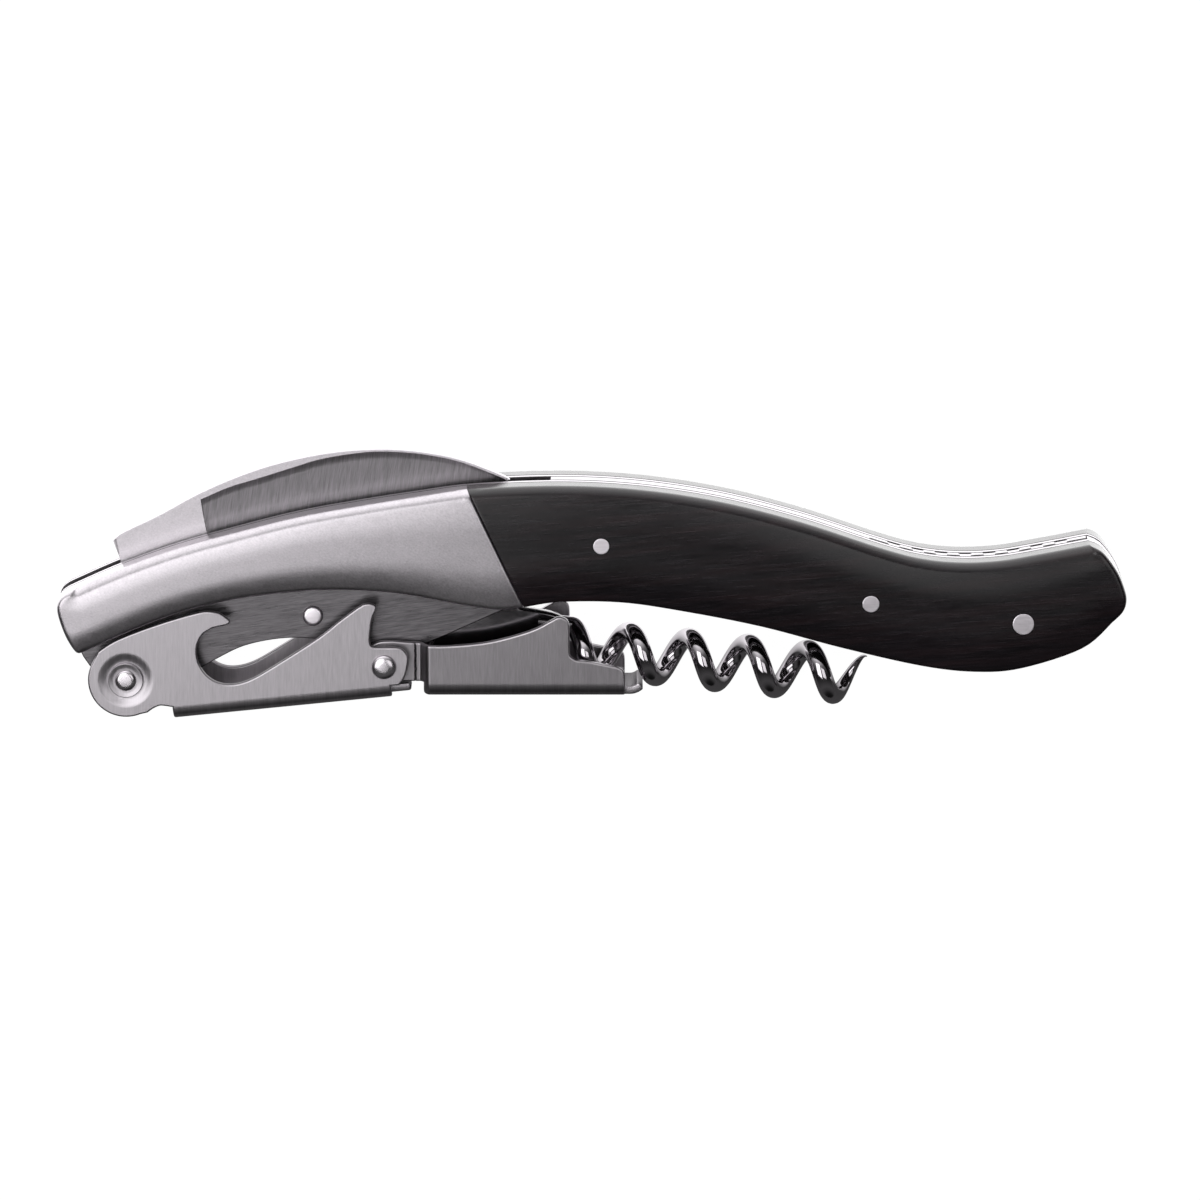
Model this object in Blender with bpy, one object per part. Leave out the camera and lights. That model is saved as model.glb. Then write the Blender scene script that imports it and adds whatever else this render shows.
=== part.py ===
"""A waiter's lever corkscrew, closed and lying on its side, in metres with +Z up.

X runs along the handle, from the blade's pivot at the nose (-X) to the tail (+X).
Y runs across it, from the lever side (-Y) to the blade side (+Y).
Z is the thickness: every hinge axis is parallel to it, and the lower side rests at z = 0.
The outlines below are in millimetres, and their z is measured from the middle plane.
"""

import math

import bmesh
import bpy
from mathutils import Vector
from mathutils.geometry import delaunay_2d_cdt

MM = 0.001

# The stack from the middle plane outwards, in millimetres
LINER_IN = 1.1
LINER_OUT = 2.1
SIDE_IN = 2.25
SIDE_OUT = 6.2
BLADE_HALF = 0.5
FILLER_HALF = 0.95
TANG_HALF = 0.95
RUN_GAP = 0.15

# The outer face of bolster and scale: an arch across the handle, with rounded edges
CROWN = 0.5
CROWN_FLAT = 0.3
RIM_ROUNDS = (1.2, 0.4, 0.5)
DOME_INSETS = (0.1, 0.45, 1.2, 2.6, 4.2, 5.9)

# Sheet metal of the two lever stages
SHEET = 1.0
LEVER_HALF = 5.4
BEND_OUT = 1.6
BEND_STEPS = 3
EYE_SIDES = 20

# Hinge centres, all on axes parallel to Z
LEVER_PIVOT = (-56.8, -11.34)
KNUCKLE = (-25.4, -9.66)
BLADE_PIVOT = (-55.0, -1.28)
WORM_PIVOT = (-13.3, -1.78)

# Pins and rivets: centre and radius
STOP_RIVET = ((-34.1, -4.0), 0.95)
FRONT_PIN = ((1.0, 5.45), 0.98)
MIDDLE_PIN = ((33.7, -1.7), 1.03)
REAR_PIN = ((52.2, -4.2), 1.3)
SPRING_PIN = ((44.5, 1.35), 0.7)
PIVOT_SHANK = 1.0
RIVET_HEAD = 1.5
RIVET_RISE = 0.75
PIN_SIDES = 16

# Lever pivot: the ears are pressed inwards round it
DIMPLE_DEPTH = 0.7
DIMPLE_RADII = (3.4, 2.3)
CUP_RADIUS = 2.15
WASHER_RADIUS = 2.6

# Knuckle: the second stage's neck is joggled in between the first stage's ears
JOGGLE_DEPTH = 1.85
JOGGLE_X = (-21.1, -19.9)
NECK_RADIUS = 2.75

# The second stage's free end, curled up round a line across it
LIP_START = 25.1
LIP_LENGTH = 1.45
LIP_RADIUS = 2.3
LIP_STEPS = 4

# Worm: a right-handed wire screw, and where its axis runs
WORM_START = (-2.8, -8.36)
WORM_SLOPE = -5.9
WORM_RADIUS = 2.62
WIRE_RADIUS = 1.17
WORM_PITCH = 7.3
WORM_TURNS = 4.95
POINT_TURNS = 0.5
WORM_STEPS = 14
WIRE_SIDES = 8

# Handle outline, nose to tail along the blade side
TOP_LINE = [
    (-62.6, 0.1), (-57.4, 2.4), (-50.4, 4.95), (-43.0, 7.05), (-35.7, 8.9), (-28.4, 10.25),
    (-21.1, 11.4), (-14.6, 12.25), (-4.0, 12.65), (5.7, 12.15), (15.5, 10.65), (25.2, 8.15),
    (35.0, 4.9), (40.0, 3.6), (44.8, 3.15), (49.6, 3.4), (54.5, 4.25), (60.2, 5.35),
]  # fmt: skip
TAIL_END = [
    (60.2, 5.35), (61.8, 4.55), (63.5, 2.3), (64.4, 0.2), (64.7, -1.3), (64.3, -2.75), (63.0, -4.2),
]  # fmt: skip
SCALE_BOTTOM = [
    (63.0, -4.2), (59.4, -7.38), (52.1, -9.84), (46.5, -10.29), (39.9, -9.54), (30.1, -7.27),
    (20.4, -4.65), (10.6, -2.7), (3.3, -1.65), (-4.0, -1.6), (-8.4, -2.27),
]  # fmt: skip
BOLSTER_BOTTOM = [
    (-8.4, -2.27), (-11.6, -2.52), (-16.2, -1.87), (-23.5, -0.52), (-31.0, -0.07), (-38.2, -0.52),
    (-45.5, -1.67), (-52.8, -3.87), (-61.7, -7.72),
]  # fmt: skip
NOSE = [
    (-61.7, -7.72), (-62.7, -7.85), (-63.8, -6.2), (-64.6, -4.2),
    (-65.0, -2.5), (-64.8, -1.4), (-64.0, -0.6), (-62.6, 0.1),
]  # fmt: skip
BOLSTER_END = ((-15.2, 12.2), (-8.4, -2.27))
LINER_FRONT = [(-61.1, -10.7), (-62.1, -9.2), (-63.0, -7.4)]
LINER_BELOW = [
    (-8.4, -2.27), (-11.8, -3.7), (-19.4, -7.1), (-22.5, -8.0), (-28.0, -7.7), (-34.0, -6.9),
    (-38.2, -6.9), (-42.5, -7.8), (-46.0, -9.5), (-48.5, -11.0),
]  # fmt: skip
PIVOT_LOBE = 4.3


# ---------- outlines ----------


def smooth(points, steps=3):
    """A Catmull-Rom curve through the points, from the first to the last."""
    ends = [points[0]] + list(points) + [points[-1]]
    curve = []
    for a, b, c, d in zip(ends, ends[1:], ends[2:], ends[3:]):
        for i in range(steps):
            t = i / steps
            curve.append(
                tuple(
                    q + 0.5 * t * ((r - p) + (2 * p - 5 * q + 4 * r - s) * t + (3 * q - p - 3 * r + s) * t**2)
                    for p, q, r, s in zip(a, b, c, d)
                )
            )
    return curve + [points[-1]]


def arc(centre, radius, start, end, steps=8):
    """Points on a circle from one angle to the other, in degrees."""
    angles = [math.radians(start + (end - start) * i / steps) for i in range(steps + 1)]
    return [(centre[0] + radius * math.cos(a), centre[1] + radius * math.sin(a)) for a in angles]


def circle(centre, radius, sides=PIN_SIDES):
    return arc(centre, radius, 0, 360, sides)[:-1]


def without_repeats(points, nearest=0.02):
    return [p for p, q in zip(points, points[1:] + points[:1]) if math.dist(p, q) > nearest]


# ---------- solids ----------


def face_out(bm):
    """Turns every face of a closed mesh outwards."""
    bmesh.ops.recalc_face_normals(bm, faces=bm.faces[:])
    if bm.calc_volume(signed=True) < 0:
        bmesh.ops.reverse_faces(bm, faces=bm.faces[:])


def flat_solid(outline, low, high, holes=(), eyes=()):
    """A plate with through holes. An eye is a hole with a band of rings round it, outermost ring first."""
    bm = bmesh.new()
    edges = []
    for loop in [without_repeats(outline), *holes, *[rings[0] for rings in eyes]]:
        verts = [bm.verts.new((x, y, low)) for x, y in loop]
        edges += [bm.edges.new(pair) for pair in zip(verts, verts[1:] + verts[:1])]
    bmesh.ops.triangle_fill(bm, use_beauty=True, edges=edges)
    for rings in eyes:
        loops = [[bm.verts.new((x, y, low)) for x, y in ring] for ring in rings]
        for outer, inner in zip(loops, loops[1:]):
            for i in range(len(outer)):
                j = (i + 1) % len(outer)
                bm.faces.new((outer[i], outer[j], inner[j], inner[i]))
    bmesh.ops.remove_doubles(bm, verts=bm.verts[:], dist=1e-4)
    pushed = bmesh.ops.extrude_face_region(bm, geom=bm.faces[:])["geom"]
    top = [v for v in pushed if isinstance(v, bmesh.types.BMVert)]
    bmesh.ops.translate(bm, verts=top, vec=(0, 0, high - low))
    face_out(bm)
    return bm


def turned(profile, centre, sides=PIN_SIDES):
    """A solid turned about an axis parallel to Z, from (radius, z) pairs that close or end on the axis."""
    bm = bmesh.new()
    rows = []
    for radius, z in profile:
        if radius == 0:
            rows.append([bm.verts.new((*centre, z))])
        else:
            rows.append([bm.verts.new((x, y, z)) for x, y in circle(centre, radius, sides)])
    closed = profile[0][0] > 0
    for low, high in zip(rows, rows[1:] + (rows[:1] if closed else [])):
        for i in range(sides):
            j = (i + 1) % sides
            ring = [low[i % len(low)], low[j % len(low)], high[j % len(high)], high[i % len(high)]]
            bm.faces.new(list(dict.fromkeys(ring)))
    face_out(bm)
    return bm


def pin(centre, radius, half):
    return turned([(0, -half), (radius, -half), (radius, half), (0, half)], centre)


def tube(path, radii, sides):
    """A round bar along a path, with a radius for each of its points."""
    bm = bmesh.new()
    loops = []
    side = Vector((0, 1, 0))
    for i, (point, radius) in enumerate(zip(path, radii)):
        ahead = (path[min(i + 1, len(path) - 1)] - path[max(i - 1, 0)]).normalized()
        side = (side - ahead * side.dot(ahead)).normalized()
        across = ahead.cross(side)
        turns = [2 * math.pi * k / sides for k in range(sides)]
        ring = [point + radius * (side * math.cos(a) + across * math.sin(a)) for a in turns]
        loops.append([bm.verts.new(co) for co in ring])
    for low, high in zip(loops, loops[1:]):
        for i in range(sides):
            bm.faces.new((low[i], low[(i + 1) % sides], high[(i + 1) % sides], high[i]))
    bm.faces.new(loops[0])
    bm.faces.new(loops[-1])
    face_out(bm)
    return bm


# ---------- scene objects ----------


def material(name, colour, metallic, roughness):
    made = bpy.data.materials.new(name)
    made.use_nodes = True
    shader = made.node_tree.nodes["Principled BSDF"]
    shader.inputs["Base Color"].default_value = (*colour, 1)
    shader.inputs["Metallic"].default_value = metallic
    shader.inputs["Roughness"].default_value = roughness
    return made


def pivot_empty(name, centre=(0, 0), parent=None):
    """An empty on a hinge's axis, in the middle plane. What turns there is parented to it."""
    empty = bpy.data.objects.new(name, None)
    bpy.context.scene.collection.objects.link(empty)
    here = Vector((*centre, SIDE_OUT)) * MM
    empty.parent = parent
    empty.location = here - (parent.matrix_world.translation if parent else Vector())
    bpy.context.view_layer.update()
    return empty


def add(name, bm, paint, parent, mirrored=False):
    """Makes the node from a mesh in millimetres, with its origin at its parent's, mirrored in z if asked."""
    if mirrored:
        bmesh.ops.scale(bm, verts=bm.verts[:], vec=(1, 1, -1))
        bmesh.ops.reverse_faces(bm, faces=bm.faces[:])
    bmesh.ops.scale(bm, verts=bm.verts[:], vec=(MM, MM, MM))
    middle = Vector((0, 0, SIDE_OUT * MM))
    bmesh.ops.translate(bm, verts=bm.verts[:], vec=middle - parent.matrix_world.translation)
    mesh = bpy.data.meshes.new(name)
    bm.to_mesh(mesh)
    bm.free()
    mesh.shade_smooth()
    mesh.set_sharp_from_angle(angle=math.radians(35))
    mesh.materials.append(paint)
    made = bpy.data.objects.new(name, mesh)
    bpy.context.scene.collection.objects.link(made)
    made.parent = parent
    return made


def add_pair(name, build, paint, parent):
    """The same piece on the upper and on the lower side."""
    add(name + "_upper", build(), paint, parent)
    add(name + "_lower", build(), paint, parent, mirrored=True)


# ---------- the handle ----------


def top_points(first_x, last_x):
    return [p for p in smooth(TOP_LINE) if first_x <= p[0] <= last_x]


def hole_at(pin_at, clearance=RUN_GAP):
    return circle(pin_at[0], pin_at[1] + clearance)


def liner():
    lobe = arc(LEVER_PIVOT, PIVOT_LOBE, -30, -188, 12)
    outline = smooth(TOP_LINE)[:-1] + smooth(TAIL_END)[:-1] + smooth(SCALE_BOTTOM)[:-1]
    outline += smooth(LINER_BELOW) + lobe + smooth(LINER_FRONT[1:] + NOSE[2:])[:-1]
    small = [STOP_RIVET, FRONT_PIN, MIDDLE_PIN, REAR_PIN, SPRING_PIN]
    centres = [LEVER_PIVOT, BLADE_PIVOT, WORM_PIVOT]
    holes = [hole_at(p) for p in small] + [hole_at((c, PIVOT_SHANK)) for c in centres]
    return flat_solid(outline, LINER_IN, LINER_OUT, holes)


def side_rim():
    """The outline that bolster and scale share: the top, the tail, the bottom and the nose."""
    sides = (TOP_LINE, TAIL_END, SCALE_BOTTOM, BOLSTER_BOTTOM, NOSE)
    return [point for side in sides for point in smooth(side)[:-1]]


def rim_parts():
    """The same outline in three parts: the top, the bottom, and the two ends."""
    sides = (TOP_LINE,), (SCALE_BOTTOM, BOLSTER_BOTTOM), (TAIL_END, NOSE)
    return [[smooth(line) for line in side] for side in sides]


def nearest_on(a, b, point):
    """The point of the segment from a to b that is nearest to the given one."""
    dx, dy = b[0] - a[0], b[1] - a[1]
    t = ((point[0] - a[0]) * dx + (point[1] - a[1]) * dy) / (dx * dx + dy * dy)
    t = min(1, max(0, t))
    return (a[0] + t * dx, a[1] + t * dy)


def distance_to(lines, point):
    return min(math.dist(point, nearest_on(a, b, point)) for line in lines for a, b in zip(line, line[1:]))


def dome_height(point, parts):
    """The outer face's height above the middle plane at a point, given the outline's parts."""
    insets = [distance_to(part, point) for part in parts]
    aside = max(0, abs(2 * insets[0] / (insets[0] + insets[1]) - 1) - CROWN_FLAT) / (1 - CROWN_FLAT)
    rounds = [(radius, max(0, 1 - inset / radius)) for inset, radius in zip(insets, RIM_ROUNDS)]
    return SIDE_OUT - CROWN * aside**2 - max(radius * (1 - math.sqrt(1 - over**2)) for radius, over in rounds)


def inset_points(rim, keep):
    """Points on lines parallel to the rim, at each of the dome's insets, where keep allows them."""
    found = []
    for before, here, after in zip(rim[-1:] + rim[:-1], rim, rim[1:] + rim[:1]):
        along = (Vector(after) - Vector(before)).normalized()
        inwards = Vector((along.y, -along.x))
        for inset in DOME_INSETS:
            point = Vector(here) + inwards * inset
            if distance_to([rim + rim[:1]], point) > 0.95 * inset and keep(point):
                found.append(point)
    return found


def across_joint(point):
    """How far a point lies beyond the joint of bolster and scale, towards the tail."""
    high, low = BOLSTER_END
    slope = (high[0] - low[0]) / (high[1] - low[1])
    return point[0] - low[0] - slope * (point[1] - low[1])


def triangulated(loops, inner, holes):
    """Triangles over the first loop and round the holes, through the inner points."""
    points = [Vector(p) for loop in loops for p in loop] + [Vector(p) for p in inner]
    edges = []
    first = 0
    for loop in loops:
        edges += [(first + i, first + (i + 1) % len(loop)) for i in range(len(loop))]
        first += len(loop)
    flat, _, faces, *_ = delaunay_2d_cdt(points, edges, [], 1, 1e-6)
    solid = []
    for face in faces:
        middle = sum((flat[i] for i in face), Vector((0, 0))) / 3
        if all(math.dist(middle, centre) > radius for centre, radius in holes):
            solid.append(face)
    return flat, solid


def domed_slab(outline, pins, keep):
    """A slab with a hole for each pin. Its outer face is arched, with a rounded edge at the handle's rim."""
    parts = rim_parts()
    loops = [without_repeats(outline)] + [hole_at(p) for p in pins]
    holes = [(centre, radius + RUN_GAP) for centre, radius in pins]
    inner = [p for p in inset_points(side_rim(), keep) if all(math.dist(p, c) > r + 0.3 for c, r in holes)]
    bm = bmesh.new()
    walls = []
    for points, height in (([], lambda p: SIDE_IN), (inner, lambda p: dome_height(p, parts))):
        flat, faces = triangulated(loops, points, holes)
        verts = [bm.verts.new((*p, height(p))) for p in flat]
        for face in faces:
            bm.faces.new([verts[i] for i in face])
        walls.append(verts)
    base, outer = walls
    first = 0
    for loop in loops:
        for i in range(len(loop)):
            a, b = first + i, first + (i + 1) % len(loop)
            bm.faces.new((base[a], base[b], outer[b], outer[a]))
        first += len(loop)
    face_out(bm)
    return bm


def joint_end(gap, steps=6):
    """The bolster's end from the top to the bottom, moved by gap along the handle."""
    high, low = BOLSTER_END
    return [
        (high[0] + (low[0] - high[0]) * i / steps + gap, high[1] + (low[1] - high[1]) * i / steps)
        for i in range(steps + 1)
    ]


def bolster():
    end = joint_end(-RUN_GAP / 2)
    outline = top_points(NOSE[-1][0], end[0][0] - 0.5) + end + smooth(BOLSTER_BOTTOM)[1:-1]
    outline += smooth(NOSE)[:-1]
    return domed_slab(outline, [], lambda p: across_joint(p) < -0.8)


def scale():
    end = joint_end(RUN_GAP / 2)
    outline = top_points(end[0][0] + 0.5, 65)[:-1] + smooth(TAIL_END)[:-1] + smooth(SCALE_BOTTOM)[:-1]
    outline += end[::-1]
    return domed_slab(outline, [FRONT_PIN, MIDDLE_PIN, REAR_PIN], lambda p: across_joint(p) > 0.8)


def back_spring():
    """The spring along the handle's back, with its nose against the worm's tang."""
    back = [(-5.1, 12.64)] + top_points(-5.0, 59.5) + [(60.0, 5.3), (58.5, 2.4)]
    under = [(57.0, 1.75), (50.0, 0.2), (44.5, -0.7), (39.0, 0.3), (32.0, 2.5), (22.0, 6.0), (12.0, 8.2)]
    block = smooth([(5.0, 7.0), (3.2, 4.2), (0.4, 3.2), (-4.0, 2.6), (-8.6, 1.9)])
    nose = [(-9.6, 2.6), (-9.4, 4.4), (-7.6, 7.5)]
    outline = back + smooth(under) + block + nose
    return flat_solid(outline, -FILLER_HALF, FILLER_HALF, [hole_at(FRONT_PIN), hole_at(SPRING_PIN)])


def tail_spacer():
    """The filler that closes the tail between the liners, below the spring."""
    end = [(60.15, 5.3), (61.75, 4.5), (63.45, 2.3), (64.35, 0.2), (64.65, -1.3), (64.25, -2.7)]
    below = [(62.95, -4.2), (59.2, -7.0), (52.1, -9.45), (46.5, -9.85), (39.9, -9.1), (30.6, -6.95)]
    above = [(29.5, -5.6), (31.0, -0.2), (38.6, -0.9), (44.5, -2.0), (50.5, -0.9), (57.4, 0.9), (58.6, 2.3)]
    outline = smooth(end + below)[:-1] + smooth(above)
    return flat_solid(outline, -FILLER_HALF, FILLER_HALF, [hole_at(MIDDLE_PIN), hole_at(REAR_PIN)])


def spacer_ring(centre, bore, radius, low=-FILLER_HALF, high=FILLER_HALF):
    return turned([(bore, low), (radius, low), (radius, high), (bore, high)], centre)


def domed_rivet(centre, shank, head, seat, rise=RIVET_RISE):
    """A shank with a domed head on each side, its seat on the piece below."""
    dome = [(head, 0), (0.94 * head, 0.35 * rise), (0.62 * head, 0.82 * rise), (0, rise)]
    upper = [(shank, seat)] + [(r, seat + z) for r, z in dome]
    lower = [(r, -z) for r, z in reversed(upper)]
    return turned(lower + upper, centre)


def build_handle(frame, steel, polished, wood):
    add_pair("liner", liner, steel, frame)
    add_pair("bolster", bolster, steel, frame)
    add_pair("scale", scale, wood, frame)
    add("back_spring", back_spring(), polished, frame)
    add("tail_spacer", tail_spacer(), steel, frame)
    for name, (centre, radius) in (("front", FRONT_PIN), ("middle", MIDDLE_PIN), ("rear", REAR_PIN)):
        add(f"scale_pin_{name}", pin(centre, radius, SIDE_OUT), polished, frame)
    add("spring_pin", pin(*SPRING_PIN, LINER_OUT), steel, frame)
    add("blade_pivot_pin", pin(BLADE_PIVOT, PIVOT_SHANK, LINER_OUT), steel, frame)
    add("worm_pivot_pin", pin(WORM_PIVOT, PIVOT_SHANK, LINER_OUT), steel, frame)
    add("stop_rivet", domed_rivet(*STOP_RIVET, 1.25, LINER_OUT + 0.1), polished, frame)
    add("stop_spacer", spacer_ring(STOP_RIVET[0], STOP_RIVET[1] + RUN_GAP, 2.0), steel, frame)
    add("lever_bush", spacer_ring(LEVER_PIVOT, PIVOT_SHANK + RUN_GAP, 1.7), steel, frame)


def build_lever_pivot(frame, steel, polished):
    ear_in = LEVER_HALF - SHEET - DIMPLE_DEPTH
    ear_out = LEVER_HALF - DIMPLE_DEPTH
    bore = PIVOT_SHANK + RUN_GAP
    low, high = ear_out + 0.1, ear_out + 0.45
    cup = [(bore, low), (1.75, low), (CUP_RADIUS, high), (1.8, high + 0.1), (1.5, high), (bore, high)]
    add_pair("pivot_cup", lambda: turned(cup, LEVER_PIVOT), polished, frame)
    washer = [(bore, LINER_OUT + 0.15), (WASHER_RADIUS, LINER_OUT + 0.15), (WASHER_RADIUS, ear_in - 0.15)]
    washer += [(bore, ear_in - 0.15)]
    add_pair("lever_washer", lambda: turned(washer, LEVER_PIVOT), steel, frame)
    add("lever_pivot_rivet", domed_rivet(LEVER_PIVOT, PIVOT_SHANK, 1.35, high + 0.1, 0.85), polished, frame)


# ---------- the foil blade ----------


def foil_blade():
    """A foil cutter, thick along its back and thin along the edge that lies inside the handle."""
    back = smooth([
        (-58.4, 4.95), (-57.2, 5.95), (-52.8, 8.1), (-47.9, 10.8), (-43.0, 12.95), (-38.2, 14.55),
        (-32.0, 15.85), (-26.0, 16.3), (-21.1, 16.0), (-16.2, 15.05), (-11.3, 13.2), (-10.0, 12.45),
    ])  # fmt: skip
    edge = smooth([
        (-11.0, 12.0), (-16.0, 10.0), (-22.0, 8.6), (-30.0, 7.4), (-38.0, 6.0), (-46.0, 3.3), (-51.3, 0.3),
    ])  # fmt: skip
    eye = arc(BLADE_PIVOT, 3.0, 15, -195, 12)
    outline = back[:-1] + edge + eye + [(-57.5, 2.5)]
    return flat_solid(outline, -BLADE_HALF, BLADE_HALF, [hole_at((BLADE_PIVOT, PIVOT_SHANK))])


def build_blade(body, frame, steel):
    add("foil_blade", foil_blade(), steel, body)
    low, high = BLADE_HALF + RUN_GAP, LINER_IN - RUN_GAP
    bore = PIVOT_SHANK + RUN_GAP
    add_pair("blade_washer", lambda: spacer_ring(BLADE_PIVOT, bore, 2.6, low, high), steel, frame)


# ---------- the worm ----------


def worm_path():
    """The wire's centre line and radii: a straight root inside the tang, the screw, and a point."""
    slope = math.radians(WORM_SLOPE)
    along = Vector((math.cos(slope), math.sin(slope), 0))
    across = Vector((-math.sin(slope), math.cos(slope), 0))
    start = Vector((*WORM_START, 0))
    root = [start + across * WORM_RADIUS - along * d for d in (4.2, 2.8, 1.4)]
    points, radii = root, [WIRE_RADIUS] * len(root)
    count = round(WORM_TURNS * WORM_STEPS)
    for i in range(count + 1):
        turn = i / WORM_STEPS
        angle = 2 * math.pi * turn
        swell = min(1, turn / 0.25)
        left = WORM_TURNS - turn
        point = across * math.cos(angle) + Vector((0, 0, math.sin(angle) * swell))
        points.append(start + along * WORM_PITCH * turn + WORM_RADIUS * min(1, 0.95 + left) * point)
        radii.append(WIRE_RADIUS * min(1, 0.12 + 0.88 * left / POINT_TURNS))
    return points, radii


def worm_tang():
    """The flat root that turns on the worm's pin, between the liners."""
    eye = arc(WORM_PIVOT, 3.0, 205, 20, 10)
    arm = [
        (-8.9, -3.3), (-4.3, -4.2), (-3.2, -5.6), (-3.9, -7.2),
        (-8.0, -8.9), (-14.0, -9.2), (-19.0, -8.6), (-19.6, -7.2),
    ]  # fmt: skip
    return flat_solid(eye + arm, -TANG_HALF, TANG_HALF, [hole_at((WORM_PIVOT, PIVOT_SHANK))])


def build_worm(body, polished):
    worm = add("worm", tube(*worm_path(), WIRE_SIDES), polished, body)
    tang = add("worm_tang_join", worm_tang(), polished, body)
    tang.hide_render = True
    tang.display_type = "WIRE"
    join = worm.modifiers.new("join", "BOOLEAN")
    join.operation = "UNION"
    join.object = tang


# ---------- the two lever stages ----------


class Fold:
    """A flat sheet folded into a channel. The web lies along a line, and a plate stands up at each side.

    In the flat pattern x runs along the web and y across it, from the middle of the web.
    The pattern's z is the depth into the sheet from its outer face.
    """

    def __init__(self, origin, slope):
        self.origin = Vector(origin)
        self.along = Vector((math.cos(math.radians(slope)), math.sin(math.radians(slope))))
        self.up = Vector((-self.along.y, self.along.x))
        self.flat_half = LEVER_HALF - BEND_OUT
        self.middle_radius = BEND_OUT - SHEET / 2
        self.bend_end = self.flat_half + self.middle_radius * math.pi / 2

    def unfold(self, point):
        """Where a point of the upper plate lies in the flat pattern."""
        offset = Vector(point) - self.origin
        return (offset.dot(self.along), self.bend_end + offset.dot(self.up) - BEND_OUT)

    def eye(self, centre, rings=()):
        """A hole for a hinge pin in the upper plate, in rings from the outermost inwards."""
        radii = (*rings, PIVOT_SHANK + RUN_GAP)
        return [[self.unfold(p) for p in circle(centre, r, EYE_SIDES)] for r in radii]

    def creases(self):
        """The lines of the pattern along which it is cut, so that it can bend there."""
        steps = range(BEND_STEPS + 1)
        return [self.flat_half + (self.bend_end - self.flat_half) * i / BEND_STEPS for i in steps]

    def place(self, co, press):
        """Folds one point of the pattern. press gives how far a plate is pressed inwards at x and y."""
        across = abs(co.y)
        if across <= self.flat_half:
            height, out = co.z, across
        elif across < self.bend_end and co.x > -1e-6:
            turn = (across - self.flat_half) / self.middle_radius
            radius = BEND_OUT - co.z
            height, out = BEND_OUT - radius * math.cos(turn), self.flat_half + radius * math.sin(turn)
        else:
            height, out = BEND_OUT + across - self.bend_end, LEVER_HALF - co.z
        flat = self.origin + self.along * co.x + self.up * height
        out -= press(flat)
        return Vector((*flat, math.copysign(out, co.y)))


def folded_sheet(fold, half_outline, eyes, press, cuts=()):
    """Folds the pattern whose half above the centre line is given, in pattern coordinates."""
    other = [(x, -y) for x, y in reversed(half_outline)]
    both = eyes + [[[(x, -y) for x, y in ring] for ring in rings] for rings in eyes]
    bm = flat_solid(half_outline + other, 0, SHEET, eyes=both)
    for y in fold.creases():
        for side in (y, -y):
            geom = bm.verts[:] + bm.edges[:] + bm.faces[:]
            bmesh.ops.bisect_plane(bm, geom=geom, dist=1e-5, plane_co=(0, side, 0), plane_no=(0, 1, 0))
    for x in cuts:
        geom = bm.verts[:] + bm.edges[:] + bm.faces[:]
        bmesh.ops.bisect_plane(bm, geom=geom, dist=1e-5, plane_co=(x, 0, 0), plane_no=(1, 0, 0))
    bmesh.ops.triangulate(bm, faces=bm.faces[:])
    for vert in bm.verts:
        vert.co = fold.place(vert.co, press)
    face_out(bm)
    return bm


def first_stage():
    """The inner stage: a crown-cap mouth behind a hook, a tooth, and ears for the two hinges."""
    fold = Fold((-51.0, -16.3), 5.75)
    web_end, tongue_end, tongue_half, slot_end = 26.7, 29.0, 1.9, 22.8
    notch = [(-51.9, -14.65), (-52.7, -14.55), (-53.5, -14.9), (-54.2, -15.4)]
    lobe = arc(LEVER_PIVOT, 4.6, -68, -200, 10)
    back = [(-60.1, -7.8), (-57.7, -6.3), (-52.8, -4.4), (-47.9, -2.95), (-46.3, -2.85), (-45.2, -3.1)]
    hook = [(-44.1, -3.95), (-44.5, -4.5)]
    mouth = smooth([
        (-46.1, -4.85), (-47.4, -5.7), (-48.1, -7.3), (-47.9, -9.3), (-46.6, -11.1), (-44.5, -11.9),
        (-41.8, -11.35), (-38.2, -9.25), (-33.3, -6.05), (-30.9, -4.1), (-28.5, -2.3),
    ])  # fmt: skip
    tooth = [(-27.4, -1.9), (-26.3, -2.45), (-26.8, -3.8), (-27.1, -6.3), (-26.6, -7.3)]
    ear = smooth([(-24.2, -7.3), (-23.2, -7.5), (-22.5, -8.4), (-22.5, -9.4), (-22.9, -11.0), (-23.6, -12.0)])
    plate = notch + lobe + smooth(back) + hook + mouth + tooth + ear
    half = [(0, fold.flat_half), (0, fold.bend_end)] + [fold.unfold(p) for p in plate]
    half += [(web_end, fold.bend_end), (web_end, fold.flat_half - 0.15), (slot_end, fold.flat_half - 0.15)]
    half += [(slot_end, tongue_half), (tongue_end, tongue_half)]
    pivot = fold.eye(LEVER_PIVOT, DIMPLE_RADII)
    knuckle = fold.eye(KNUCKLE)

    def press(point):
        far, near = DIMPLE_RADII
        gone = (far - math.dist(point, LEVER_PIVOT)) / (far - near)
        return DIMPLE_DEPTH * min(1, max(0, gone))

    return folded_sheet(fold, half, [pivot, knuckle], press)


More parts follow.
